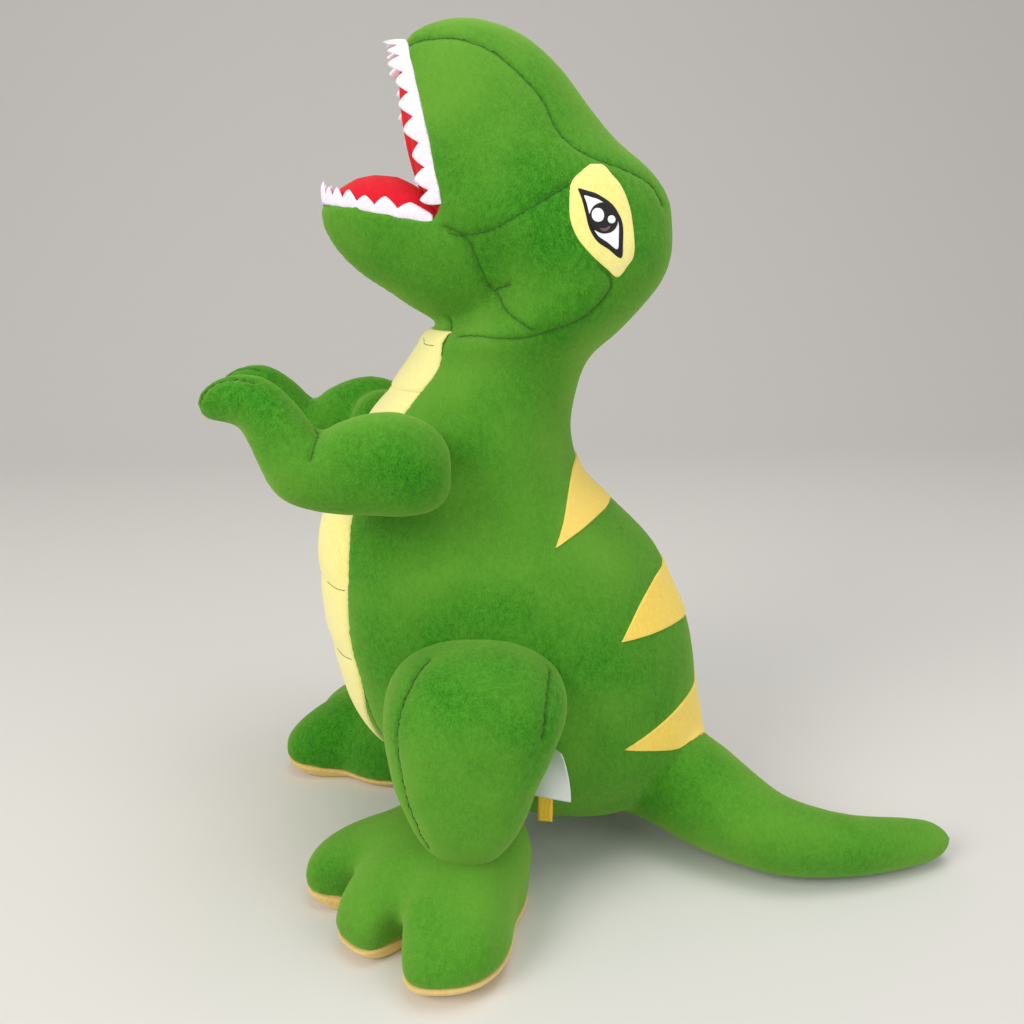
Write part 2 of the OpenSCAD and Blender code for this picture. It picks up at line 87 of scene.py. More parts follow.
def loft(stations, around, along, grow=0.0):
    """Rings through stations [x, y, z, half across, half along, lean, turn], as a grid.

    A ring point at angle t is centre + across cos t (1, 0, 0) + along sin t (0, cos lean, sin lean),
    turned about the vertical by turn.
    """
    s = rope(stations, along)
    t = np.linspace(0, 2 * np.pi, around, endpoint=False)
    u = np.maximum(s[:, 3] + grow, 0.3)[:, None] * np.cos(t)
    v = np.maximum(s[:, 4] + grow, 0.3)[:, None] * np.sin(t)
    lean, turn = np.radians(s[:, 5])[:, None], np.radians(s[:, 6])[:, None]
    x = s[:, :1] + u * np.cos(turn) - v * np.sin(turn) * np.cos(lean)
    y = s[:, 1:2] + u * np.sin(turn) + v * np.cos(turn) * np.cos(lean)
    z = s[:, 2:3] + v * np.sin(lean)
    return np.stack([x, y, z], -1)


def grid_faces(rows, columns, wrap):
    """Quads between neighbouring rows and columns; wrap joins the last column to the first."""
    k = np.arange(rows * columns).reshape(rows, columns)
    here, there = (k, np.roll(k, -1, 1)) if wrap else (k[:, :-1], k[:, 1:])
    return np.stack([here[:-1], there[:-1], there[1:], here[1:]], -1).reshape(-1, 4)


def closed_bag(grid):
    """Points and faces of a closed bag: a wrapped grid with a pole at each end, turned outwards."""
    rows, columns = grid.shape[:2]
    points = np.concatenate([grid.reshape(-1, 3), grid[:1].mean(1), grid[-1:].mean(1)])
    k = np.arange(columns)
    j = np.roll(k, -1)
    first = np.stack([np.full(columns, rows * columns), j, k], -1)
    last = np.stack([np.full(columns, rows * columns + 1), (rows - 1) * columns + k,
                     (rows - 1) * columns + j], -1)
    faces = grid_faces(rows, columns, True).tolist() + first.tolist() + last.tolist()
    a, b, c = points[np.array([f[:3] for f in faces]).T]
    if np.einsum("ij,ij->", a, np.cross(b, c)) < 0:
        faces = [f[::-1] for f in faces]
    return points, faces


def new_object(name, points, faces, smooth=True):
    """A mesh object from points and faces."""
    mesh = bpy.data.meshes.new(name)
    mesh.from_pydata(np.asarray(points, float).tolist(), [], [list(map(int, f)) for f in faces])
    mesh.update()
    if smooth and len(mesh.polygons):
        mesh.polygons.foreach_set("use_smooth", np.ones(len(mesh.polygons), bool))
    made = bpy.data.objects.new(name, mesh)
    bpy.context.scene.collection.objects.link(made)
    return made


def joined(bags):
    """Points and faces of several bags put into one list."""
    points, faces, start = [], [], 0
    for p, f in bags:
        points.append(p)
        faces += [[start + k for k in face] for face in f]
        start += len(p)
    return np.concatenate(points), faces


def evaluated(made, name=None):
    """The object's mesh with its modifiers worked out, as a new mesh."""
    graph = bpy.context.evaluated_depsgraph_get()
    graph.update()
    mesh = bpy.data.meshes.new_from_object(made.evaluated_get(graph))
    mesh.name = name or made.name
    return mesh


def settle(made):
    """Replaces the object's mesh by its worked-out mesh and drops the modifiers."""
    mesh = evaluated(made)
    made.modifiers.clear()
    old, made.data = made.data, mesh
    bpy.data.meshes.remove(old)
    mesh.polygons.foreach_set("use_smooth", np.ones(len(mesh.polygons), bool))
    return made


def points_of(mesh):
    """All vertex places of a mesh as an array."""
    flat = np.empty(len(mesh.vertices) * 3, np.float32)
    mesh.vertices.foreach_get("co", flat)
    return flat.reshape(-1, 3).astype(float)


def normals_of(mesh):
    """All vertex normals of a mesh as an array."""
    flat = np.empty(len(mesh.vertices) * 3, np.float32)
    mesh.vertex_normals.foreach_get("vector", flat)
    return flat.reshape(-1, 3).astype(float)


def move_points(mesh, points):
    """Writes new vertex places into a mesh."""
    mesh.vertices.foreach_set("co", np.asarray(points, np.float32).ravel())
    mesh.update()


def distance_to(points, curve):
    """Distance from each point to the nearest of the curve's points, and which one it is."""
    best = np.empty(len(points))
    which = np.empty(len(points), int)
    for start in range(0, len(points), 4000):
        part = points[start:start + 4000]
        d = ((part[:, None, :] - curve[None, :, :]) ** 2).sum(-1)
        which[start:start + 4000] = d.argmin(1)
        best[start:start + 4000] = np.sqrt(d.min(1))
    return best, which


def lay_on(target, points, axis=None):
    """Moves points onto the target's surface: straight along one axis, or to the nearest place."""
    shape = np.shape(points)
    carrier = new_object("carrier", np.reshape(points, (-1, 3)), [], smooth=False)
    wrap = carrier.modifiers.new("lay", "SHRINKWRAP")
    wrap.target = target
    if axis is None:
        wrap.wrap_method = "NEAREST_SURFACEPOINT"
        wrap.wrap_mode = "ON_SURFACE"
    else:
        wrap.wrap_method = "PROJECT"
        wrap.use_project_x, wrap.use_project_y, wrap.use_project_z = (axis == k for k in "XYZ")
        wrap.use_negative_direction = wrap.use_positive_direction = True
    mesh = evaluated(carrier)
    found = points_of(mesh)
    bpy.data.meshes.remove(mesh)
    old = carrier.data
    bpy.data.objects.remove(carrier)
    bpy.data.meshes.remove(old)
    return found.reshape(shape)


def soften(grid, times=1):
    """Evens out a grid by averaging each inner point with its four neighbours."""
    g = grid.copy()
    for _ in range(times):
        g[1:-1, 1:-1] = 0.5 * g[1:-1, 1:-1] + 0.125 * (
            g[:-2, 1:-1] + g[2:, 1:-1] + g[1:-1, :-2] + g[1:-1, 2:])
    return g


def grid_normals(grid, outward):
    """Unit normals of a grid, turned to the side that outward points to."""
    n = np.cross(np.gradient(grid, axis=0), np.gradient(grid, axis=1))
    n /= np.maximum(np.linalg.norm(n, axis=-1, keepdims=True), 1e-12)
    if (n * outward).sum() < 0:
        n = -n
    return n


print("helpers are ready")

# %% [markdown]
# ## Stuffing
#
# A stuffed bag is never a smooth solid.  The fibre pushes the plush outwards, the seams hold it
# back, and the cloth swells between them.  Blender can do this with its cloth simulation: the
# bag is remeshed into small even squares, the points along the seams are pinned, and a pressure
# from inside blows it up for twenty frames.  The movement is capped, so no part can run away.

# %% Stuff a bag with the cloth simulation
def stuff(made, seams, cell=0.005, cap=0.007, pressure=4.0, hold=0.006):
    """Remeshes the bag, swells it by cloth pressure with its seams held, and smooths it once."""
    remesh = made.modifiers.new("even cloth", "REMESH")
    remesh.mode = "VOXEL"
    remesh.voxel_size = cell
    settle(made)
    even = made.modifiers.new("even", "SMOOTH")
    even.iterations = 3
    settle(made)
    before = points_of(made.data)
    pins = made.vertex_groups.new(name="pins")
    near, _ = distance_to(before, seams)
    weight = np.clip(1.4 - near / hold, 0, 1)
    held = np.nonzero(weight > 0.05)[0]
    for level in (0.3, 0.6, 1.0):
        band = held[(weight[held] <= level) & (weight[held] > level - 0.4)]
        pins.add(band.tolist(), level, "REPLACE")
    cloth = made.modifiers.new("stuffing", "CLOTH")
    cloth.settings.use_pressure = True
    cloth.settings.uniform_pressure_force = pressure
    cloth.settings.quality = 5
    cloth.settings.mass = 0.02
    cloth.settings.tension_stiffness = 15
    cloth.settings.compression_stiffness = 15
    cloth.settings.shear_stiffness = 5
    cloth.settings.bending_stiffness = 1.5
    cloth.settings.vertex_group_mass = "pins"
    cloth.settings.effector_weights.gravity = 0
    cloth.point_cache.frame_start, cloth.point_cache.frame_end = 1, 20
    scene = bpy.context.scene
    for frame_number in range(1, 21):
        scene.frame_set(frame_number)
    settle(made)
    scene.frame_set(1)
    after = points_of(made.data)
    step = after - before
    size = np.linalg.norm(step, axis=1, keepdims=True)
    step *= np.minimum(1, cap / np.maximum(size, 1e-9))
    move_points(made.data, before + step)
    print(made.name, "swelled by up to", round(float(size.max()) * 1000, 1), "mm, mean",
          round(float(size.mean()) * 1000, 2), "mm")
    finer = made.modifiers.new("finer", "SUBSURF")
    finer.levels = finer.render_levels = 1
    settle(made)
    return made


def sew(made, curve, depth=0.0012, width=0.0018, valley=0.0009, spread=0.007):
    """Pulls the plush in along a seam: a narrow groove in a wider valley, with small puckers.

    depth exp(-(d/width)^2) + valley exp(-(d/spread)^2) (0.75 + 0.25 sin(pucker)), d being the distance to
    the seam.  The groove strength is stored as the attribute "seam", along which the cloth's material
    paints shade into the groove.
    """
    mesh = made.data
    points, normals = points_of(mesh), normals_of(mesh)
    d, which = distance_to(points, curve)
    groove = np.exp(-(d / width) ** 2)
    pucker = 0.75 + 0.25 * np.sin(which * 2.1 + 1.7 * np.sin(which * 0.37))
    pull = depth * groove + valley * np.exp(-(d / spread) ** 2) * pucker
    move_points(mesh, points - normals * pull[:, None])
    # The groove strength is kept for the material, which paints shade along it.
    seam_shade_mask = mesh.attributes.get("seam") or mesh.attributes.new("seam", "FLOAT", "POINT")
    old = np.empty(len(mesh.vertices), np.float32)
    seam_shade_mask.data.foreach_get("value", old)
    seam_shade_mask.data.foreach_set("value", np.maximum(old, groove).astype(np.float32))


def seam_points(target, lists, step=0.0022):
    """Dense points of several seams, laid on the target; each seam is sewn on both sides."""
    laid = []
    for points, both in lists:
        line = rope(place(points), 160)
        length = np.linalg.norm(np.diff(line, axis=0), axis=1).sum()
        line = rope(place(points), max(int(length / step), 4))
        laid.append(lay_on(target, line))
        if both:
            laid.append(lay_on(target, line * (-1, 1, 1)))
    return laid


print("stuffing is ready")

# %% [markdown]
# ## Body, head, jaw and tail
#
# The body rises from the hips to the neck and goes on into a long head thrown back so far that
# the snout points at the sky.  The jaw and the tail are bags of their own, sewn to it.  Here
# they are lofted from a few stations each, joined into one even cloth, stuffed together so that
# the seams between them crease as sewn seams do, and parted again afterwards.
#
# The front of the head is cut flat by the plane of the upper lip, y = -92 - 0.187 (z - 468),
# and the top of the jaw by the plane of the lower lip, z = 468 - 0.196 (y + 92).  The mouth is
# the wedge between the two planes.

# %% Stations of the body, jaw and tail
body_stations = [
    [0, 26, 20, 16, 20, 0, 0], [0, 22, 24, 44, 48, 0, 0], [0, 10, 38, 72, 80, 0, 0],
    [0, -5, 58, 88, 108, 0, 0], [0, -16, 84, 101, 130, 0, 0], [0, -29, 113, 107, 137, 0, 0],
    [0, -36, 146, 108, 140, 0, 0], [0, -43, 177, 106, 140, 0, 0], [0, -51, 206, 101, 135, 0, 0],
    [0, -59, 236, 94, 128, 0, 0], [0, -70, 264, 86, 112, 0, 0], [0, -78, 292, 81, 92, 0, 0],
    [0, -75, 322, 75, 79, 0, 0], [0, -64, 350, 66, 71, 0, 0], [0, -50, 375, 61, 66, 0, 0],
    [0, -36, 392, 68, 70, 0, 0], [0, -13, 410, 76, 64, 0, 0], [0, -3, 430, 78, 70, 0, 0],
    [0, -8, 450, 78, 82, 0, 0], [0, -22, 468, 75, 96, 0, 0], [0, -28, 486, 70, 99, 0, 0],
    [0, -35, 504, 64, 93, 0, 0], [0, -48, 524, 56, 81, 0, 0], [0, -56, 546, 49, 69, 0, 0],
    [0, -63, 568, 41, 58, 0, 0], [0, -70, 586, 31, 44, 0, 0], [0, -72, 596, 17, 25, 0, 0],
    [0, -73, 600, 4, 6, 0, 0]]
jaw_stations = [
    [0, -60, 452, 56, 60, 90, 0], [0, -82, 458, 57, 62, 90, 0], [0, -96, 461, 54, 60, 90, 0],
    [0, -112, 464, 50, 55, 90, 0], [0, -128, 467, 44, 47, 90, 0], [0, -144, 470, 37, 40, 90, 0],
    [0, -158, 472, 28, 30, 90, 0], [0, -168, 473, 18, 18, 90, 0], [0, -174, 474, 6, 6, 90, 0]]
tail_stations = [
    [12, 52, 60, 48, 48, -90, -30], [40, 80, 54, 44, 44, -90, -34], [62, 102, 47, 41, 41, -90, -44],
    [86, 125, 40, 35, 35, -90, -38], [101, 150, 33, 30, 30, -90, -18],
    [106, 182, 27.5, 25, 26, -90, -3], [106, 211, 24, 22.5, 22.8, -90, 3],
    [102, 239, 21.5, 20, 20.4, -90, 8], [98, 265, 19.5, 16.5, 17, -90, 8],
    [96, 279, 18.5, 10, 10.5, -90, 8], [95, 286, 18, 3, 3, -90, 8]]


def lip_y(z):
    """Front plane of the head at height z."""
    return -92 - (z - 468) * 0.187


def jaw_top(y):
    """Top plane of the jaw at depth y."""
    return 468 - (y + 92) * 0.196


body_grid = loft(body_stations, 72, 150, grow=-1.5)
lip = lip_y(np.maximum(body_grid[..., 2], 452))
body_grid[..., 1] = np.where(body_grid[..., 2] > 440, np.maximum(body_grid[..., 1], lip), body_grid[..., 1])
jaw_grid = loft(jaw_stations, 56, 40, grow=-1.5)
jaw_grid[..., 2] = np.minimum(jaw_grid[..., 2], jaw_top(jaw_grid[..., 1]))
tail_grid = loft(tail_stations, 48, 70, grow=-1.5)
points, faces = joined([closed_bag(g) for g in (body_grid, jaw_grid, tail_grid)])
hide = new_object("plush_hide", place(points), faces)
print("rough hide:", len(points), "points")

# %% [markdown]
# ## Seams of the body and head
#
# A pattern maker draws the seams first, because they decide the shape.  Each line below is one
# seam, given by a few points; `True` says it is sewn on both sides of the toy.  The long ones
# run down the spine, over the snout beside the top panel, round the cheek and behind the eye.

# %% Seam lines
belly_edge = [(28, -89, 405), (33, -87, 396), (38, -92, 384), (41, -98, 372), (42, -106, 362),
              (42, -113, 353), (43, -121, 343), (44, -140, 315), (45, -153, 290), (47, -161, 266),
              (50, -162, 250), (52, -164, 228), (51, -165, 208), (50, -164, 176), (50, -158, 150),
              (46, -147, 125), (36, -128, 98), (16, -108, 74)]
hide_seams = [
    ([(12, -112, 580), (25, -95, 582), (31, -78, 581), (36, -58, 574), (40, -38, 558),
      (43, -25, 544), (50, -15, 524), (52, 3, 510), (45, 29, 502), (35, 49, 493),
      (33, 58, 480)], True),
    ([(51, -91, 466), (55, -76, 457), (53, -67, 438), (51, -60, 424), (58, -50, 411),
      (68, -34, 399.5)], True),
    ([(56, -88, 462), (62, -75, 458), (66, -57, 465), (68, -35, 477), (69, -21, 486),
      (69, -11, 492)], True),
    ([(77, 8, 441), (76, 18, 430), (74, 12, 418), (72, -5, 404), (68, -32, 396),
      (56, -60, 394), (44, -82, 394)], True),
    ([(50, -59, 424), (54, -54, 427), (57, -48, 429)], True),
    ([(0, 74, 466), (0, 73, 441), (0, 61, 420), (0, 41, 402), (0, 20, 384), (0, 6, 359),
      (0, 0, 314), (0, 16, 285), (0, 53, 255), (0, 85, 201), (0, 107, 133), (0, 114, 95)], False),
    (belly_edge, True),
]
jaw_seam = [([(0, -112, 404), (0, -134, 420), (0, -156, 444), (0, -172, 468)], False)]
lip_seams = [
    [(x, float(lip_y(z)), z) for x, z in
     ((51, 470), (51.5, 482), (47, 504), (41, 524), (33, 546), (23, 568), (12, 582), (0, 587))],
    [(x, y, float(jaw_top(y))) for x, y in
     ((53, -84), (51, -96), (47, -112), (41, -128), (34, -144), (24, -158), (12, -169), (0, -173))]]
pin_lines = [rope(place(p), 120) for p, both in hide_seams + jaw_seam]
pin_lines += [rope(place(p), 80) for p in lip_seams]
pin_lines = np.concatenate(pin_lines + [line * (-1, 1, 1) for line in pin_lines])
stuff(hide, pin_lines, cell=0.0046, cap=0.0055)
sewn, jaw_sewn = seam_points(hide, hide_seams), seam_points(hide, jaw_seam)
for line in sewn + jaw_sewn:
    sew(hide, line)


def stitches(name, target, lines, thick=0.00042, pitch=0.0034):
    """Thread lying in the seams: a thin cord whose radius dips between one stitch and the next."""
    bags = []
    for line in lines:
        length = np.append(0, np.cumsum(np.linalg.norm(np.diff(line, axis=0), axis=1)))
        count = max(int(length[-1] / pitch * 5), 12)
        even = np.stack([np.interp(np.linspace(0, length[-1], count), length, c) for c in line.T], -1)
        path = lay_on(target, even)
        path[1:-1] = (path[:-2] + 2 * path[1:-1] + path[2:]) / 4
        ahead = np.gradient(path, axis=0)
        side = np.cross(ahead, (0.31, 0.57, 0.76))
        side /= np.linalg.norm(side, axis=1, keepdims=True)
        over = np.cross(ahead, side)
        over /= np.linalg.norm(over, axis=1, keepdims=True)
        waist = np.abs(np.sin(np.linspace(0, length[-1], count) * np.pi / pitch)) ** 0.5
        radius = thick * (0.3 + 0.7 * waist)
        a = np.linspace(0, 2 * np.pi, 5, endpoint=False)[None, :, None]
        bags.append(closed_bag(path[:, None] + radius[:, None, None]
                               * (np.cos(a) * side[:, None] + np.sin(a) * over[:, None])))
    points, faces = joined(bags)
    return new_object(name, points, faces)


hide_thread = stitches("seam_stitches", hide, sewn)
jaw_thread = stitches("jaw_seam_stitches", hide, jaw_sewn)
print("hide:", len(hide.data.polygons), "faces,", len(sewn), "seams")

# %% [markdown]
# ## Parting the hide into its pieces
#
# The stuffed hide is cut into four covers: body, head, jaw and tail.  The body cover stays still.  The
# others cover parts that turn at joints, so each is cut where its joint still holds it against its
# neighbour, and it keeps the shading it had while it was one cloth.

# %% Cut the hide into covers
def cut_out(source, keep, name):
    """A new object from the faces of source picked out by keep, with shading and seams kept."""
    mesh = source.data
    corners = np.empty(len(mesh.loops), int)
    mesh.loops.foreach_get("vertex_index", corners)
    quads = corners.reshape(-1, 4)[keep]
    used, local = np.unique(quads, return_inverse=True)
    made = new_object(name, points_of(mesh)[used], local.reshape(-1, 4))
    # The seam groove strength, along which the material paints shade.
    seam = np.empty(len(mesh.vertices), np.float32)
    mesh.attributes["seam"].data.foreach_get("value", seam)
    made.data.attributes.new("seam", "FLOAT", "POINT").data.foreach_set("value", seam[used])
    made.data.normals_split_custom_set_from_vertices(normals_of(mesh)[used].tolist())
    return made


def face_centres(mesh):
    """Middle of every face, in pattern millimetres."""
    flat = np.empty(len(mesh.polygons) * 3, np.float32)
    mesh.polygons.foreach_get("center", flat)
    return flat.reshape(-1, 3) * 1000.0 + (0, 8.7, 0)


middle = face_centres(hide.data)
x, y, z = middle.T
tail_way = np.array([0.69, 0.69, -0.22])
tail_line = rope(tail_stations, 200)[:, :3]
in_tail = ((middle - (40, 80, 54)) @ tail_way > 8) & (distance_to(middle, tail_line)[0] < 56) & (z < 98)
in_jaw = (y < -62) & (z > 398) & (z < np.minimum(jaw_top(y), 468) + 3) & ~in_tail
in_jaw |= (y < -94) & (z > 440) & (z < jaw_top(y) + 2)
in_head = (z > 352) & ~in_jaw
body_cover = cut_out(hide, ~(in_tail | in_jaw | in_head), "body_cover")
head_cover = cut_out(hide, in_head, "head_cover")
jaw_cover = cut_out(hide, in_jaw, "jaw_cover")
tail_cover = cut_out(hide, in_tail, "tail_cover")
for part in (body_cover, head_cover, jaw_cover, tail_cover):
    print(part.name, len(part.data.polygons), "faces")

# %% [markdown]
# ## Arms
#
# Each arm is a fat bent sausage that ends in a hooked mitten.  It is cut from two mirrored
# pieces; two short stitched lines on the mitten stand for three fingers, and a dart in the crook
# of the elbow keeps it bent.  A round root on its inner side is sewn into the flank of the body:
# a ball close to the axis the arm swings about, so the join hardly changes as the arm moves.

# %% Left arm, then its mirror image
arm_stations = [
    [100, -91, 314, 10, 14, 90, 0], [101, -97, 315, 18, 24, 90, 0], [102, -108, 317, 24, 31, 90, 0],
    [103, -124, 319, 27, 34.5, 90, 0], [103, -142, 319.5, 27, 33.5, 90, 0],
    [103, -163, 318, 26, 30.5, 82, 0], [102, -184, 320, 24.5, 26, 58, 0],
    [101, -193, 333, 22, 22, 30, 0], [100, -201, 347, 20, 20, 34, 0],
    [97, -213, 359, 18, 18.5, 64, 0], [94, -228, 361, 15.5, 16, 90, 0],
    [93, -240, 357, 10.5, 11.5, 112, 0], [93, -246, 353, 4, 5, 120, 0]]
round_it = np.linspace(0, 2 * np.pi, 40, endpoint=False)[None, :]
inwards = np.linspace(0.05, np.pi - 0.05, 24)[:, None]
shoulder_ball = np.stack([76 - 27 * np.cos(inwards) + 0 * round_it,
                          -118 + 26 * np.sin(inwards) * np.cos(round_it),
                          317 + 26 * np.sin(inwards) * np.sin(round_it)], -1)
points, faces = joined([closed_bag(loft(arm_stations, 40, 70, grow=-1.0)), closed_bag(shoulder_ball)])
arm = new_object("arm_pattern", place(points), faces)
arm_seams = [
    ([(100, -172, 347), (108, -172, 343), (115, -174, 334), (119, -176, 325)], False),
    ([(103, -210, 370), (102, -224, 378), (99, -238, 371), (98, -246, 357)], False),
    ([(90, -210, 369), (90, -224, 376), (89, -238, 370), (89, -246, 357)], False),
]
arm_edges = np.concatenate([rope(place(p), 60) for p, both in arm_seams]
                           + [rope(place([(101, -97, 338), (101, -97, 292)]), 8)])
stuff(arm, arm_edges, cell=0.0032, cap=0.003, pressure=5.0)
sewn = seam_points(arm, arm_seams)
for line in sewn:
    sew(arm, line, depth=0.0011, valley=0.0010, spread=0.006)
arm_thread = stitches("left_arm_stitches", arm, sewn)


def mirrored(source, name, change):
    """A copy of source with its points changed by a function that also mirrors them."""
    mesh = source.data.copy()
    mesh.name = name
    move_points(mesh, change(points_of(mesh)))
    mesh.flip_normals()
    made = bpy.data.objects.new(name, mesh)
    bpy.context.scene.collection.objects.link(made)
    return made


def right_arm_place(points):
    """Mirrors the left arm, sets it 20 mm further forward and dips the hand by 8 degrees."""
    hub = place((-78, -118, 317))
    q = points * (-1, 1, 1) - hub
    c, s = math.cos(math.radians(8)), math.sin(math.radians(8))
    q = np.stack([q[:, 0], c * q[:, 1] - s * q[:, 2], s * q[:, 1] + c * q[:, 2]], -1)
    return q + hub + (0, -0.020, 0)


arm.name = "left_arm_plush"
right_arm = mirrored(arm, "right_arm_plush", right_arm_place)
right_arm_thread = mirrored(arm_thread, "right_arm_stitches", right_arm_place)
print("arms:", len(arm.data.polygons), "faces each")

# %% [markdown]
# ## Thighs
#
# A thigh is a flattened egg, wide at the hip and narrow above the foot, sewn on the side of the
# body.  Its outline is given seen from the side, as distance from its middle in every
# direction.  Across the body the outline shrinks by (1 - |s|^p)^(1/p) while x = 112 + 57 s, so
# the face is broad and the edge rolls over quickly, which is where its seam runs.  Its lower
# half leans outwards by up to 10 mm, because the fibre sinks.

# %% Thighs
def around(outline, centre, angles, turns=3):
    """Radius and any further columns of a closed outline, read at the angles."""
    o = np.asarray(outline, float)
    a = np.arctan2(o[:, 1] - centre[1], o[:, 0] - centre[0])
    order = np.argsort(a)
    values = np.column_stack([np.hypot(o[:, 0] - centre[0], o[:, 1] - centre[1]), o[:, 2:]])[order]
    read = np.stack([np.interp(angles, a[order], v, period=2 * np.pi) for v in values.T], -1)
    return read


thigh_outline = [(-129, 182), (-112, 192), (-77, 198), (-38, 191), (-15, 171), (-16, 152),
                 (-24, 132), (-38, 104), (-50, 74), (-64, 55), (-86, 45), (-108, 56), (-127, 90),
                 (-137, 122), (-140, 145), (-138, 166)]
turn = np.linspace(0, 2 * np.pi, 96, endpoint=False)
reach = around(thigh_outline, (-84, 134), turn)[:, 0]
for _ in range(6):
    reach = 0.5 * reach + 0.25 * (np.roll(reach, 1) + np.roll(reach, -1))
s = np.sin(np.linspace(-1, 1, 41) * math.pi / 2 * 0.99)[:, None]
shrink = (1 - np.abs(s) ** 2.5) ** (1 / 2.5)
heavy = 10 * shrink * np.clip(-np.sin(turn), 0, 1)
thigh_grid = np.stack([112 + 57 * s + heavy, -84 + shrink * (reach - 1) * np.cos(turn),
                       134 + shrink * (reach - 1) * np.sin(turn)], -1)
points, faces = closed_bag(thigh_grid)
thigh = new_object("left_thigh_plush", place(points), faces)
thigh_seams = [
    ([(116, -108, 193), (128, -117, 188), (138, -123, 180), (144, -128, 168), (148, -131, 152),
      (151, -130, 130), (154, -124, 104), (153, -113, 74)], False),
    ([(118, -27, 182), (136, -33, 177), (147, -38, 166), (151, -42, 152)], False),
]
thigh_edges = np.concatenate([rope(place(p), 90) for p, both in thigh_seams])
stuff(thigh, thigh_edges, cell=0.0042, cap=0.004, pressure=5.0)
sewn = seam_points(thigh, thigh_seams)
for line in sewn:
    sew(thigh, line, depth=0.0014, valley=0.0015, spread=0.008)
thigh_thread = stitches("left_thigh_stitches", thigh, sewn)


def right_leg_place(points):
    """Mirrors the left leg and sets it one stride, 36 mm, in front."""
    return points * (-1, 1, 1) + (0, -0.036, 0)


right_thigh = mirrored(thigh, "right_thigh_plush", right_leg_place)
right_thigh_thread = mirrored(thigh_thread, "right_thigh_stitches", right_leg_place)
print("thighs:", len(thigh.data.polygons), "faces each")

# %% [markdown]
# ## Feet and soles
#
# A foot is a round pad with three toes fanned outwards.  Its outline seen from above is a
# radius for every direction a: 60 mm plus one smooth bump exp(-|a - a0|^3 / w^3) for each toe,
# less a narrow notch between toes.  The upper closes in towards the ankle as it rises.  The
# tan sole is a thin puffed pad of the same outline that curls up a little at the toe tips.

# %% Feet and soles
def bump(a, at, wide):
    """One toe: 1 in direction at, falling to 0 a little past wide degrees to either side."""
    return np.exp(-np.abs((a - at) / wide) ** 3)


def foot_reach(a, notched=1.0):
    """Radius of the foot in direction a, degrees outwards from straight ahead.

    The outer toe rolls off more slowly towards the heel, so its bump is wider on that side.
    """
    notch = 42 * np.exp(-((a - 61) / 6.5) ** 2) + 38 * np.exp(-((a - 14) / 7) ** 2)
    toes = 41 * bump(a, -7, 22) + 29 * bump(a, 38, 21) + 47 * bump(a, 82, np.where(a < 82, 23, 38))
    heel = 4 * np.exp(-((np.abs(a) - 180) / 50) ** 2)
    return 60 + toes - notch * notched - heel


way = np.linspace(-180, 180, 160, endpoint=False)
out = foot_reach(way)
rim = 6 + 7.5 * np.clip((out - 55) / 45, 0, 1)
rows = rope([[104, -97, 0.0, 0.985, 0], [104, -97, 0.10, 1.02, 0], [104, -97, 0.30, 1.01, 0.08],
             [105, -96, 0.50, 0.95, 0.28], [107, -95, 0.68, 0.83, 0.5], [110, -94, 0.83, 0.66, 0.75],
             [114, -92, 0.94, 0.45, 0.95], [117, -90, 0.995, 0.2, 1.0]], 44)
soft = rows[:, 4:5]
bridged = np.exp(-(rows[:, 2:3] / 0.5) ** 2)
radius = ((1 - soft) * foot_reach(way[None, :], bridged) + soft * 74) * rows[:, 3:4] - 0.5
foot_grid = np.stack([rows[:, :1] + radius * np.sin(np.radians(way)),
                      rows[:, 1:2] - radius * np.cos(np.radians(way)),
                      rim + (75 - rim) * rows[:, 2:3]], -1)
points, faces = closed_bag(foot_grid)
foot = new_object("left_foot_plush", place(points), faces)
foot_base = np.stack([104 + 0.97 * out * np.sin(np.radians(way)),
                      -97 - 0.97 * out * np.cos(np.radians(way)), rim], -1)
foot_centre = place([(104, -97, 12)])
stuff(foot, np.concatenate([place(foot_base), foot_centre]), cell=0.0038, cap=0.0035, pressure=5.0,
      hold=0.010)

sole_rows = rope([[0.02, 0.02, 0], [0.5, 0.01, 0], [0.80, 0.0, 0], [0.875, 0.10, 0], [0.935, 0.42, 0],
                  [0.985, 0.82, 0], [0.99, 1.0, 0], [0.94, 1.08, 0], [0.7, 1.1, 0], [0.02, 1.1, 0]], 40)
sole_grid = np.stack([104 + sole_rows[:, :1] * (out + 0.6) * np.sin(np.radians(way)),
                      -97 - sole_rows[:, :1] * (out + 0.6) * np.cos(np.radians(way)),
                      np.maximum(sole_rows[:, 1:2], 0) * (rim + 0.5)], -1)
points, faces = closed_bag(sole_grid)
sole = new_object("left_sole_pad", place(points), faces)
right_foot = mirrored(foot, "right_foot_plush", right_leg_place)
right_sole = mirrored(sole, "right_sole_pad", right_leg_place)
print("feet:", len(foot.data.polygons), "faces each")

# %% [markdown]
# ## Patches
#
# The belly strip, the stripes and the eye patches are flat pieces sewn onto the plush.  Each is
# a grid laid on the stuffed hide, raised a little in the middle and sunk at its border, so it
# looks like a second layer of cloth pulled down by its own stitching.

# %% Lay patches on the hide
def patch(name, guess, outward, raised, axis=None, even=3):
    """A cloth patch: the grid guess laid on the hide, then raised along its own normals."""
    grid = soften(lay_on(hide, place(guess), axis), even)
    grid = grid + grid_normals(grid, outward) * np.asarray(raised)[..., None] / 1000.0
    rows, columns = grid.shape[:2]
    faces = grid_faces(rows, columns, False)
    a, b, c = grid.reshape(-1, 3)[faces[:, :3].T]
    if (np.cross(b - a, c - a) * np.asarray(outward)).sum() < 0:
        faces = faces[:, ::-1]
    return new_object(name, grid.reshape(-1, 3), faces)


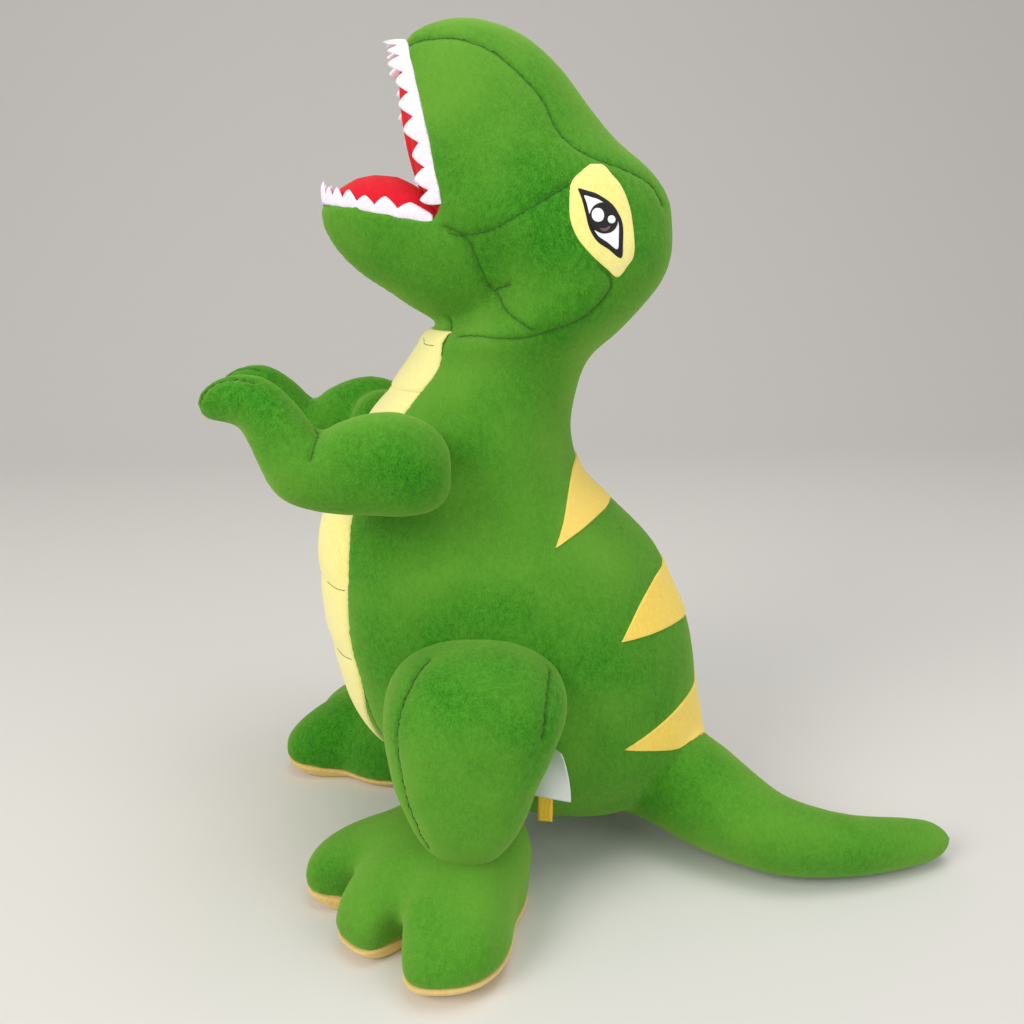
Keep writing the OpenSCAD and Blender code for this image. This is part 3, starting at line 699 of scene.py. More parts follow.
def border(u, v, low=0.45, top=1.1, sharp=8):
    """Height over the hide: top in the middle, low near the border, and the last row tucked under.

    u and v run from -1 to 1 and reach 1 only in the last row, where the cloth is turned in.
    """
    edge = (1 - np.abs(u) ** sharp) * (1 - np.abs(v) ** (sharp * 2))
    raised = low + (top - low) * np.clip(edge, 0, 1) ** 0.5
    return np.where((np.abs(u) > 0.9999) | (np.abs(v) > 0.9999), -1.6, raised)


def turned_in(count, lip=0.012):
    """Even steps from -1 to 1 with one extra, very near, step at each end for the turned-in edge."""
    return np.concatenate([[-1], np.linspace(-1 + lip, 1 - lip, count - 2), [1]])


quilting = [386, 352, 318, 272, 218, 165]
edge = rope(belly_edge, 400)
tuck = np.column_stack([edge[:, 0], np.full(400, -230.0), edge[:, 2]])
order = np.argsort(tuck[:, 2])


def strip(name, low, high, rows):
    """Part of the pale strip between two heights; it bulges between its quilting seams."""
    v = turned_in(rows, 0.006)
    z = low + (high - low) * (v + 1) / 2
    half = np.interp(z, tuck[order, 2], tuck[order, 0]) + 1.0
    u = turned_in(57)
    y = -60 + 0 * z
    guess = np.stack([half[:, None] * u, y[:, None] + 0 * u, z[:, None] + 0 * u], -1)
    seams = sum(0.55 * np.exp(-((z - q) / 1.6) ** 2) + 1.15 * np.exp(-((z - q) / 10) ** 2)
                for q in quilting)
    raised = border(u[None, :], v[:, None], 0.45, 2.3)
    raised = raised - (seams[:, None] * (1 - u[None, :] ** 6)) * (raised > 0)
    ahead = guess.copy()
    ahead[..., 1] = -400
    return patch(name, ahead, (0, -1, 0), raised, axis="Y", even=2)


print("patches are ready")

# %% [markdown]
# ## Belly strip, throat strip and nape
#
# The pale strip is one long tapering panel down the front.  It is quilted across by short hand stitches, so
# it swells into soft bars.  The part above the neck crease, on the head, is a piece of its own.

# %% Pale strips
belly_strip = strip("belly_strip_plush", 78, 357, 190)
throat_strip = strip("throat_strip_plush", 355.5, 397, 32)


def quilting_stitches(name, target, heights):
    """A short row of hand stitches from either edge of the pale strip, at each quilting height."""
    lines = []
    for z in heights:
        edge_x = float(np.interp(z, tuck[order, 2], tuck[order, 0]))
        edge_y = float(np.interp(z, edge[::-1, 2], edge[::-1, 1]))
        line = rope(place([(edge_x - 1, edge_y, z), (edge_x - 12, edge_y - 5, z - 1),
                           (edge_x - 24, edge_y - 8, z)]), 40)
        lines += [line, line * (-1, 1, 1)]
    return stitches(name, target, lines, 0.00035)


belly_thread = quilting_stitches("belly_quilting_stitches", belly_strip, [318, 272, 218, 165])
throat_thread = quilting_stitches("throat_quilting_stitches", throat_strip, [386])

nape_line = rope([(0, 20, 386), (0, 41, 403), (0, 61, 422), (0, 73, 441), (0, 75, 462)], 60)
u = turned_in(21, 0.04)
v = turned_in(60, 0.01)
nape_half = 15 * (1 - np.abs(v) ** 3) ** 0.5 + 1
nape_guess = np.stack([nape_half[:, None] * u, nape_line[:, 1:2] + 0 * u, nape_line[:, 2:3] + 0 * u], -1)
nape = patch("nape_band_plush", nape_guess, (0, 1, 0), border(u[None, :], v[:, None], 0.35, 0.8))
print("strips:", len(belly_strip.data.polygons) + len(throat_strip.data.polygons), "faces")

# %% [markdown]
# ## Back stripes
#
# Three yellow stripes wrap over the spine.  Each is a curved triangle on either flank: an upper
# and a lower edge start apart on the spine and meet in a point.  The grid runs from one tip
# over the spine to the other.

# %% Three stripes
def back_stripe(name, upper, lower):
    """A stripe between two edges that run from the spine to the same tip, on both flanks."""
    along = turned_in(121, 0.008)
    across = (turned_in(33, 0.03) + 1) / 2
    ease = np.abs(along)
    top = np.stack([np.interp(ease, np.linspace(0, 1, 80), c) for c in rope(upper, 80).T], -1)
    low = np.stack([np.interp(ease, np.linspace(0, 1, 80), c) for c in rope(lower, 80).T], -1)
    side = np.stack([np.sign(along), np.ones(121), np.ones(121)], -1)
    guess = (top * side)[:, None] * (1 - across[:, None]) + (low * side)[:, None] * across[:, None]
    raised = border(along[:, None], across[None, :] * 2 - 1, 0.45, 1.1, 16)
    return patch(name, guess, (0, 0.7, 0.3), raised, even=2)


stripe_upper = back_stripe("back_stripe_upper_plush",
                           [(0, 5, 306), (30, -4, 300), (52, -10, 283), (66, -16, 264), (73, -22, 250)],
                           [(0, 33, 268), (28, 20, 263), (50, 2, 258), (64, -11, 254), (73, -22, 250)])
stripe_middle = back_stripe("back_stripe_middle_plush",
                            [(0, 75, 224), (26, 70, 222), (47, 58, 219), (69, 42, 206), (82, 24, 184)],
                            [(0, 92, 178), (24, 86, 178), (46, 68, 180), (68, 45, 182), (82, 24, 184)])
stripe_lower = back_stripe("back_stripe_lower_plush",
                           [(0, 104, 128), (28, 98, 127), (54, 82, 125), (76, 58, 117), (90, 28, 106)],
                           [(0, 114, 74), (22, 109, 73), (46, 92, 80), (70, 63, 93), (90, 28, 106)])
print("stripes:", 3 * len(stripe_upper.data.polygons), "faces")

# %% [markdown]
# ## Eyes
#
# An eye is four layers of embroidery on a pale patch: a black almond, a white almond inside
# it, a round black iris with two white lights, and a brown crescent low in the iris.  Every
# layer is a disc-like grid.  A square (a, b) is bent into a round one by
# (a sqrt(1 - b^2/2), b sqrt(1 - a^2/2)), which has no pole in the middle to pucker.

# %% Eye patches and embroidery
def round_grid(count):
    """Direction and distance of the points of a square grid bent into a disc."""
    steps = np.concatenate([[-1], np.linspace(-0.975, 0.975, count - 2), [1]])
    a, b = np.meshgrid(steps, steps, indexing="ij")
    p, q = a * np.sqrt(1 - b ** 2 / 2), b * np.sqrt(1 - a ** 2 / 2)
    return np.arctan2(q, p), np.hypot(p, q)


def side_patch(name, outline, centre, count, low, high, scale=1.0, sharp=8):
    """A patch on the left side of the head; the outline is given as (depth, height)."""
    angle, far = round_grid(count)
    o = np.asarray(outline, float)
    closed = rope(np.vstack([o, o[:1]]), 200)[:-1]
    r = around(closed, centre, angle)[..., 0] * scale
    guess = np.stack([np.full(angle.shape, 200.0), centre[0] + far * r * np.cos(angle),
                      centre[1] + far * r * np.sin(angle)], -1)
    raised = low + (high - low) * np.clip(1 - far ** sharp, 0, 1) ** 0.5
    raised = np.where(far > 0.9999, low - 1.2, raised)
    return patch(name, guess, (1, 0, 0), raised, axis="X", even=1)


eye_patch_outline = [(3.5, 504.4), (12.5, 504.2), (18.2, 498.2), (24, 491.3), (29.8, 478), (32, 464),
                     (31.6, 447.7), (27, 440), (20.5, 433), (12.8, 438.2), (1.9, 447.2), (-7.1, 457.8),
                     (-11.6, 468.6), (-11.8, 480.6), (-9.4, 492.6), (-2.5, 499.8)]
almond = [(-6.4, 488.5), (0, 486.8), (6.6, 485), (16, 479.2), (21.8, 471.6), (23.8, 465), (23.2, 455.2),
          (21.9, 445), (13, 450.4), (5.1, 455.6), (0.2, 464.1), (-1.9, 473), (-3.6, 480.3)]
eye_patch = side_patch("left_eye_patch_plush", eye_patch_outline, (9, 470), 73, 0.4, 1.1)
eye_line = side_patch("left_eye_outline", almond, (9, 469), 61, 1.2, 1.6)
eye_white = side_patch("left_eye_white", almond, (9.3, 468.4), 57, 1.7, 2.1, 0.77)
ring = [(math.cos(t), math.sin(t)) for t in np.linspace(0, 2 * math.pi, 24, endpoint=False)]


def disc(at, size, tall=1.0):
    """Outline of a round spot, stretched upwards by tall."""
    return [(at[0] + size * c, at[1] + size * tall * s) for c, s in ring]


eye_iris = side_patch("left_eye_iris", disc((10.2, 469.6), 9.9, 1.0), (10.2, 469.6), 41, 2.2, 2.6)
eye_light = side_patch("left_eye_light", disc((5.9, 471.2), 4.2, 1.05), (5.9, 471.2), 21, 2.7, 3.0)
eye_spark = side_patch("left_eye_spark", disc((15.0, 468.6), 2.7, 0.95), (15.0, 468.6), 17, 2.7, 3.0)
crescent = [(6.4, 463.4), (8.4, 463.0), (10.4, 463.1), (12.4, 463.9), (14.2, 465.2), (13.6, 463.0),
            (11.4, 461.4), (9.4, 461.1), (7.6, 461.8)]
eye_glow = side_patch("left_eye_glow", crescent, (10.2, 462.3), 19, 2.6, 2.8)
left_eye_pieces = [eye_patch, eye_line, eye_white, eye_iris, eye_light, eye_spark, eye_glow]
right_eye_pieces = [mirrored(p, p.name.replace("left", "right"), lambda q: q * (-1, 1, 1))
                    for p in left_eye_pieces]
print("eyes:", len(left_eye_pieces), "pieces each")

# %% [markdown]
# ## Mouth
#
# The mouth is lined with red velour: one pad on the roof and one for the floor with the
# tongue.  Both are puffed, and they meet in a fold deep in the corner.  The roof lies in the
# plane of the upper lip and the floor in the plane of the lower lip.

# %% Red lining
half_at = loft(body_stations, 4, 1200, grow=-1.5)
heights, centre_y = half_at[:, 0, 2], half_at[:, 0, 1]
wide, deep = half_at[:, 0, 0], half_at[:, 1, 1] - half_at[:, 0, 1]


def lip_half(z):
    """Half width of the flat front of the head at height z."""
    y0, a, b = (np.interp(z, heights, c) for c in (centre_y, wide, deep))
    return a * np.sqrt(np.clip(1 - ((lip_y(z) - y0) / b) ** 2, 0.0, 1))


angle, far = round_grid(71)
arch_z = np.concatenate([np.linspace(470, 586.5, 60), np.linspace(586.5, 470, 60)])
arch_x = np.concatenate([lip_half(arch_z[:60]), -lip_half(arch_z[60:])])
floor_x = np.linspace(arch_x[-1], arch_x[0], 30)[1:-1]
arch = np.column_stack([np.append(arch_x, floor_x), np.append(arch_z, np.full(28, 470.0))])
r = around(arch, (0, 520), angle)[..., 0] * 0.985
roof_x, roof_z = far * r * np.cos(angle), 520 + far * r * np.sin(angle)
swell = 12.5 * np.clip(1 - far ** 2.6, 0, 1) ** 0.8 - 2.0 + 1.5 * np.exp(-(roof_x / 9) ** 2) * (1 - far)
swell -= 2.5 * np.exp(-((np.abs(roof_x) - 13) / 5) ** 2) * (1 - far ** 2)
roof_grid = np.stack([roof_x, lip_y(roof_z) - swell, roof_z], -1)
roof = new_object("mouth_roof_velour", place(roof_grid).reshape(-1, 3), grid_faces(71, 71, False))

jaw_line_y = np.array([-84, -90, -98, -108, -118, -128, -138, -148, -156, -163, -168, -171.5])
jaw_half = np.array([44, 48, 49.5, 47.5, 44.5, 41, 36.5, 31, 25.5, 19, 12.5, 6.0])
lip_ring = np.vstack([np.column_stack([jaw_half, jaw_line_y]), [(0, -173)],
                      np.column_stack([-jaw_half[::-1], jaw_line_y[::-1]]),
                      np.column_stack([np.linspace(-44, 44, 12)[1:-1], np.full(10, -84.0)])])
r = around(lip_ring, (0, -122), angle)[..., 0] * 0.975
floor_x, floor_y = far * r * np.cos(angle), -122 + far * r * np.sin(angle)
rise = np.interp(floor_y, [-173, -160, -148, -135, -120, -108, -84], [6, 17, 23, 26, 27, 24, 8])
swell = rise * np.clip(1 - far ** 3.2, 0, 1) ** 0.6 - 1.8
swell -= 3.0 * np.exp(-(floor_x / 4.5) ** 2) * np.clip(1 - far ** 2, 0, 1)
floor_grid = np.stack([floor_x, floor_y, jaw_top(floor_y) + swell], -1)
floor = new_object("mouth_floor_velour", place(floor_grid).reshape(-1, 3), grid_faces(71, 71, False))


def facing(made, way):
    """Turns a piece over if its faces look away from the given direction."""
    normal = np.empty(len(made.data.polygons) * 3, np.float32)
    made.data.polygons.foreach_get("normal", normal)
    if (normal.reshape(-1, 3) * way).sum() < 0:
        made.data.flip_normals()


facing(roof, (0, -1, 0))
facing(floor, (0, 0, 1))
print("lining:", len(roof.data.polygons) + len(floor.data.polygons), "faces")

# %% [markdown]
# ## Teeth
#
# The teeth are two strips of white felt, cut into rounded points and caught in the lip seams.
# A strip is a thin pad: its middle line follows the lip, one edge is straight and the other
# rises and falls as 0.4 + 0.6 (1 - |2 f - 1|^1.5), where f runs from 0 to 1 on every tooth.  The
# felt is doubled and turned, so each tooth is fattest in its middle.

# %% Felt teeth
def tooth_strip(name, root, way, tall, count, thick=1.9, notch=0.40):
    """Teeth along the curve root, pointing along way, tall mm high, as a thin closed pad."""
    n = count * 16 + 1
    base, up, high = rope(root, n), rope(way, n), rope(np.column_stack([tall, tall]), n)[:, 0]
    up /= np.linalg.norm(up, axis=1, keepdims=True)
    along = np.gradient(base, axis=0)
    side = np.cross(along, up)
    side /= np.linalg.norm(side, axis=1, keepdims=True)
    u = np.linspace(0, count, n)
    size = high * (0.92 + 0.10 * np.sin(np.floor(u) * 2.3))
    point = size * (notch + (1 - notch) * (1 - np.abs(2 * (u % 1) - 1) ** 1.5))
    lean = 0.6 * np.sin(np.floor(u) * 1.7)
    t = np.linspace(0, 1, 9)
    level = np.concatenate([t, t[::-1][1:-1]])
    puff = np.sin(np.pi * np.clip(t, 0, 1)) ** 0.6 * thick / 2 + 0.25
    puff = np.concatenate([puff, -puff[::-1][1:-1]])
    fat = 0.45 + 0.55 * np.abs(np.sin(np.pi * u)) ** 0.8
    grid = (base[:, None] + up[:, None] * (point[:, None] * level - 2.5 * (1 - level))[..., None]
            + side[:, None] * (puff * fat[:, None] + (lean * 0.5)[:, None] * level)[..., None])
    points, faces = closed_bag(grid)
    made = new_object(name, place(points), faces)
    made.data.attributes.new("seam", "FLOAT", "POINT")
    return made


s = np.linspace(0, 1, 41)
lip_z = 479 + 106.5 * np.sin(np.pi * s) ** 1.35
lip_x = np.where(s < 0.5, 1, -1) * (lip_half(lip_z) - 0.6)
lip_x[20] = 0
upper_root = np.stack([lip_x, lip_y(lip_z) + 0.5, lip_z], -1)
upper_way = np.stack([-0.10 * np.sign(lip_x), np.full(41, -1.0), np.full(41, -0.10)], -1)
upper_teeth = tooth_strip("upper_teeth_felt", upper_root, upper_way,
                          12.8 + 1.8 * np.sin(np.pi * s) ** 1.5, 19)
s = np.linspace(0, 1, 41)
low_y = -98 - 73.5 * np.sin(np.pi * s) ** 0.75
low_x = np.interp(-low_y, -jaw_line_y, jaw_half) - 1.0
low_x = np.where(low_y < -170.8, np.abs(np.cos(np.pi * s)) * 40, low_x) * np.where(s < 0.5, 1, -1)
lower_root = np.stack([low_x, low_y, jaw_top(low_y) - 0.5], -1)
lower_way = np.stack([-0.12 * np.sign(low_x), 0.02 + 0 * s, np.ones(41)], -1)
lower_teeth = tooth_strip("lower_teeth_felt", lower_root, lower_way,
                          10.0 + 4.0 * np.sin(np.pi * s) ** 6, 15)
print("teeth:", len(upper_teeth.data.polygons) + len(lower_teeth.data.polygons), "faces")

# %% [markdown]
# ## Label, ribbon and closing seam
#
# A blank satin care label and a folded yellow ribbon hang from the seam behind the left thigh.
# The hole the toy was stuffed through is shut by hand on the back seam, with a row of slanting
# stitches in green thread.

# %% Label, ribbon and thread
t = np.linspace(0, 1, 33)[:, None]
w = np.linspace(-0.5, 0.5, 21)[None, :]
twist = np.radians(28 + 54 * t ** 0.8)
hang = np.stack([107 + 3.5 * t + 3.5 * np.sin(np.pi * t) + 0 * w, -26 + 2.5 * t + 0 * w,
                 119 - 39.5 * t - 5 * w * t - 2.5 * (2 * w) ** 2 * t], -1)
cup = 4.5 * (2 * w) ** 2 * t
across = np.stack([26 * w * np.cos(twist) - cup, 26 * w * np.sin(twist), 0 * t * w], -1)
label = new_object("care_label_satin", place(hang + across).reshape(-1, 3), grid_faces(33, 21, False))
turned = label.modifiers.new("cloth", "SOLIDIFY")
turned.thickness, turned.offset = 0.0005, 0
settle(label)

loop_path = rope([(0, 36), (0.3, 15), (0.5, 0), (1.2, -5), (2.4, -6.2), (3.4, -3.5), (3.2, 10),
                  (1.4, 36)], 70)
w = np.linspace(-0.5, 0.5, 7)
across = np.array([0.25, 0.97, 0])
outwards = np.array([0.97, -0.25, 0])
loop_grid = (np.array([103.5, -28, 66])[None, None] + across * (10.4 * w)[None, :, None]
             + outwards * loop_path[:, :1, None] + np.array([0, 0, 1]) * loop_path[:, 1:2, None])
ribbon = new_object("ribbon_loop_satin", place(loop_grid).reshape(-1, 3), grid_faces(70, 7, False))
turned = ribbon.modifiers.new("cloth", "SOLIDIFY")
turned.thickness, turned.offset = 0.0006, 0
settle(ribbon)

bags = []
for k in range(9):
    z = 122 + 5.4 * k
    tilt = 2.2 if k % 2 else -2.2
    line = lay_on(hide, rope(place([(-4.2, 112, z - tilt), (0, 114, z), (4.2, 112, z + tilt)]), 9))
    line = line + np.array([0, 0.0007, 0]) * np.sin(np.linspace(0, math.pi, 9))[:, None]
    a = np.linspace(0, 2 * np.pi, 6, endpoint=False)
    thread = line[:, None] + 0.00045 * (np.cos(a)[:, None] * np.array([0, 1, 0])
                                        + np.sin(a)[:, None] * np.array([0, 0, 1]))
    bags.append(closed_bag(thread))
points, faces = joined(bags)
closing = new_object("closing_seam_thread", points, faces)
print("label, ribbon and", len(bags), "stitches")

# %% [markdown]
# ## Cloth and thread materials
#
# All the plush shares one shader group, `pile`.  Short pile looks like fine mottled grain: each
# tuft leans its own way and catches the light differently, tufts clump in patches of a few
# millimetres, and the nap drifts over the whole toy.  The group makes three layers of noise in
# object space, in metres, and gives back a tone and a drift from 0 to 1 and a bumpy normal.
# Each plush material mixes its own dark and light colours by the tone, brings in a third colour by the
# drift, paints shade into the seam grooves, paints every edge seen at a grazing angle lighter as a painted
# sheen, and adds the shader's own sheen.

# %% Pile group
def linear(r, g, b):
    """Screen colour 0..255 to the linear values a shader works in."""
    c = np.array([r, g, b]) / 255.0
    return (*np.where(c <= 0.04045, c / 12.92, ((c + 0.055) / 1.055) ** 2.4), 1.0)


def new_group(name, inputs, outputs):
    """A shader node group with named sockets."""
    tree = bpy.data.node_groups.new(name, "ShaderNodeTree")
    for label_text, kind, value in inputs:
        socket = tree.interface.new_socket(label_text, in_out="INPUT", socket_type=kind)
        socket.default_value = value
    for label_text, kind in outputs:
        tree.interface.new_socket(label_text, in_out="OUTPUT", socket_type=kind)
    return tree, tree.nodes.new("NodeGroupInput"), tree.nodes.new("NodeGroupOutput")


def math_node(tree, kind, a, b=None):
    """One Math node; a and b are sockets or numbers."""
    node = tree.nodes.new("ShaderNodeMath")
    node.operation = kind
    for k, value in enumerate((a, b)):
        if value is None:
            continue
        if isinstance(value, (int, float)):
            node.inputs[k].default_value = value
        else:
            tree.links.new(value, node.inputs[k])
    return node.outputs[0]


def noise(tree, place_socket, scale, detail=2.0, rough=0.5):
    """A noise texture; gives back its value socket."""
    node = tree.nodes.new("ShaderNodeTexNoise")
    node.inputs["Scale"].default_value = scale
    node.inputs["Detail"].default_value = detail
    node.inputs["Roughness"].default_value = rough
    tree.links.new(place_socket, node.inputs["Vector"])
    return node.outputs[0]


pile, pile_in, pile_out = new_group(
    "pile", [("Relief", "NodeSocketFloat", 1.0)],
    [("Tone", "NodeSocketFloat"), ("Drift", "NodeSocketFloat"), ("Normal", "NodeSocketVector")])
where = pile.nodes.new("ShaderNodeTexCoord").outputs["Object"]
stretch = pile.nodes.new("ShaderNodeMapping")
stretch.inputs["Scale"].default_value = (1.0, 1.0, 0.7)
pile.links.new(where, stretch.inputs["Vector"])
tufts = noise(pile, stretch.outputs[0], 980, 2.0, 0.65)
clumps = noise(pile, stretch.outputs[0], 300, 2.0, 0.55)
drift = noise(pile, where, 9, 2.5, 0.55)
grain = math_node(pile, "ADD", math_node(pile, "MULTIPLY", tufts, 0.62),
                  math_node(pile, "MULTIPLY", clumps, 0.38))
spread = pile.nodes.new("ShaderNodeMapRange")
spread.inputs["From Min"].default_value, spread.inputs["From Max"].default_value = 0.33, 0.67
pile.links.new(grain, spread.inputs["Value"])
pile.links.new(spread.outputs[0], pile_out.inputs["Tone"])
wide_range = pile.nodes.new("ShaderNodeMapRange")
wide_range.inputs["From Min"].default_value, wide_range.inputs["From Max"].default_value = 0.36, 0.66
pile.links.new(drift, wide_range.inputs["Value"])
pile.links.new(wide_range.outputs[0], pile_out.inputs["Drift"])
lump = pile.nodes.new("ShaderNodeBump")
lump.inputs["Strength"].default_value = 0.7
lump.inputs["Distance"].default_value = 0.0011
pile.links.new(math_node(pile, "MULTIPLY", grain, pile_in.outputs["Relief"]), lump.inputs["Height"])
pile.links.new(lump.outputs[0], pile_out.inputs["Normal"])


def mixed(tree, factor, a, b, kind="MIX"):
    """One colour Mix node; factor, a and b are sockets or values."""
    node = tree.nodes.new("ShaderNodeMix")
    node.data_type = "RGBA"
    node.blend_type = kind
    for key, value in (("Factor", factor), ("A", a), ("B", b)):
        if isinstance(value, bpy.types.NodeSocket):
            tree.links.new(value, node.inputs[key])
        else:
            node.inputs[key].default_value = value
    return node.outputs["Result"]


def plush(name, dark, light, nap, sheen_colour, painted_seam_shade=0.74, relief=1.0, sheen_weight=0.3, edge=0.5):
    """Short-pile plush: dark and light tufts, a nap colour that drifts in, painted shade along the seams
    and a painted sheen on the edges.

    dark and light are the two tuft colours, nap is the colour where the pile is brushed the other way, and
    the last colour is a painted sheen, mixed in on edges seen at a grazing angle, which also tints the
    shader's own sheen.
    """
    made = bpy.data.materials.new(name)
    made.use_nodes = True
    tree = made.node_tree
    shader = tree.nodes["Principled BSDF"]
    group = tree.nodes.new("ShaderNodeGroup")
    group.node_tree = pile
    group.inputs["Relief"].default_value = relief
    tuft = mixed(tree, group.outputs["Tone"], linear(*dark), linear(*light))
    brushed = mixed(tree, math_node(tree, "MULTIPLY", group.outputs["Drift"], 0.7), tuft, linear(*nap))
    # Painted sheen: edges seen at a grazing angle are painted lighter, towards the pale sheen colour given
    # last.
    rim_of = tree.nodes.new("ShaderNodeLayerWeight")
    rim_of.inputs["Blend"].default_value = 0.35
    edges = math_node(tree, "MULTIPLY", math_node(tree, "POWER", rim_of.outputs["Facing"], 1.6), edge)
    painted_sheen_mix = mixed(tree, edges, brushed, linear(*sheen_colour))
    # Painted shade: the colour is darkened along the seam grooves, where the stuffing pulls the plush in.
    seam_shade_mask = tree.nodes.new("ShaderNodeAttribute")
    seam_shade_mask.attribute_name = "seam"
    shaded = mixed(tree, seam_shade_mask.outputs["Fac"], painted_sheen_mix, (painted_seam_shade, painted_seam_shade, painted_seam_shade, 1), "MULTIPLY")
    tree.links.new(shaded, shader.inputs["Base Color"])
    tree.links.new(group.outputs["Normal"], shader.inputs["Normal"])
    shader.inputs["Roughness"].default_value = 0.92
    shader.inputs["Specular IOR Level"].default_value = 0.12
    shader.inputs["Sheen Weight"].default_value = sheen_weight
    shader.inputs["Sheen Roughness"].default_value = 0.4
    shader.inputs["Sheen Tint"].default_value = linear(*sheen_colour)
    return made


green_plush = plush("green_plush", (30, 104, 16), (72, 154, 36), (108, 164, 54), (160, 198, 94))
nape_plush = plush("light_green_plush", (46, 120, 22), (88, 168, 44), (104, 164, 54), (162, 200, 96))
cream_plush = plush("cream_plush", (240, 228, 122), (255, 247, 160), (252, 240, 168), (255, 252, 215),
                    0.75, 0.5, 0.2, 0.35)
amber_plush = plush("amber_plush", (244, 200, 70), (255, 226, 108), (255, 222, 120), (255, 242, 180),
                    0.75, 0.5, 0.2, 0.35)
tan_plush = plush("tan_plush", (214, 176, 96), (240, 208, 132), (236, 206, 140), (250, 232, 180),
                  0.75, 0.4, 0.2, 0.35)
red_velour = plush("red_velour", (190, 12, 30), (226, 28, 46), (222, 34, 50), (244, 120, 110),
                   0.8, 0.3, 0.15, 0.3)


def woven(name, colour, shade, fine, rough, sheen=0.1):
    """Close-woven or needled cloth: a fine thread grid over soft noise."""
    made = bpy.data.materials.new(name)
    made.use_nodes = True
    tree = made.node_tree
    shader = tree.nodes["Principled BSDF"]
    where_at = tree.nodes.new("ShaderNodeTexCoord").outputs["Object"]
    waves = []
    for way in ("X", "Z"):
        wave = tree.nodes.new("ShaderNodeTexWave")
        wave.bands_direction = way
        wave.inputs["Scale"].default_value = fine
        wave.inputs["Distortion"].default_value = 1.5
        wave.inputs["Detail"].default_value = 1.0
        tree.links.new(where_at, wave.inputs["Vector"])
        waves.append(wave.outputs[1])
    grain = noise(tree, where_at, 700, 3.0, 0.6)
    both = math_node(tree, "ADD", math_node(tree, "MULTIPLY", math_node(tree, "MAXIMUM", *waves), 0.6),
                     math_node(tree, "MULTIPLY", grain, 0.7))
    tree.links.new(mixed(tree, both, linear(*shade), linear(*colour)), shader.inputs["Base Color"])
    bumpy = tree.nodes.new("ShaderNodeBump")
    bumpy.inputs["Strength"].default_value = 0.35
    bumpy.inputs["Distance"].default_value = 0.0004
    tree.links.new(both, bumpy.inputs["Height"])
    tree.links.new(bumpy.outputs[0], shader.inputs["Normal"])
    shader.inputs["Roughness"].default_value = rough
    shader.inputs["Specular IOR Level"].default_value = 0.25
    shader.inputs["Sheen Weight"].default_value = sheen
    return made


tooth_felt = woven("white_felt", (250, 240, 250), (226, 212, 228), 260, 0.9, 0.2)
white_thread = woven("white_embroidery", (255, 255, 255), (232, 232, 236), 420, 0.55)
black_thread = woven("black_embroidery", (20, 20, 22), (8, 8, 9), 420, 0.5)
brown_thread = woven("brown_embroidery", (116, 92, 88), (84, 64, 62), 420, 0.55)
label_satin = woven("white_satin", (250, 250, 252), (232, 232, 238), 520, 0.35)
ribbon_satin = woven("amber_ribbon", (250, 205, 60), (225, 165, 35), 420, 0.4)
seam_thread = woven("green_thread", (54, 118, 28), (34, 84, 18), 700, 0.7)


def wear(material, *pieces):
    """Gives every piece in the list one material."""
    for piece in pieces:
        piece.data.materials.clear()
        piece.data.materials.append(material)


wear(green_plush, body_cover, head_cover, jaw_cover, tail_cover, arm, right_arm, thigh, right_thigh,
     foot, right_foot)
wear(nape_plush, nape)
wear(cream_plush, belly_strip, throat_strip, left_eye_pieces[0], right_eye_pieces[0])
wear(amber_plush, stripe_upper, stripe_middle, stripe_lower)
wear(tan_plush, sole, right_sole)
wear(red_velour, roof, floor)
wear(tooth_felt, upper_teeth, lower_teeth)
for pieces in (left_eye_pieces, right_eye_pieces):
    wear(black_thread, pieces[1], pieces[3])
    wear(white_thread, pieces[2], pieces[4], pieces[5])
    wear(brown_thread, pieces[6])
wear(label_satin, label)
wear(ribbon_satin, ribbon)
wear(seam_thread, closing, hide_thread, jaw_thread, arm_thread, right_arm_thread, thigh_thread,
     right_thigh_thread, belly_thread, throat_thread)
print("materials:", len(bpy.data.materials))

# %% [markdown]
# ## Joining the soft shapes to the moving bodies
#
# The neck, the jaw and the root of the tail bend like cloth, so their covers and several pieces sewn on
# them are not fixed to a body here: only their places are baked into their meshes.  Everything else rides
# on its own body, and the plain parts that the soft pieces stand for are hidden.

# %% Ride, bake and hide
bpy.data.objects.remove(hide)
for piece in (body_cover, belly_strip, stripe_upper, stripe_middle, stripe_lower, thigh, right_thigh,
              foot, right_foot, sole, right_sole, label, ribbon, closing, thigh_thread,
              right_thigh_thread, belly_thread):
    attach(piece, "body")
for piece in (head_cover, throat_strip, throat_thread, nape, hide_thread):
    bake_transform(piece)
for piece in (roof, upper_teeth, *left_eye_pieces, *right_eye_pieces):
    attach(piece, "head")
for piece in (jaw_cover, jaw_thread):
    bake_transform(piece)
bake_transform(floor)
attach(lower_teeth, "jaw")
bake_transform(tail_cover)
for piece in (arm, arm_thread):
    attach(piece, "left_arm")
for piece in (right_arm, right_arm_thread):
    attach(piece, "right_arm")

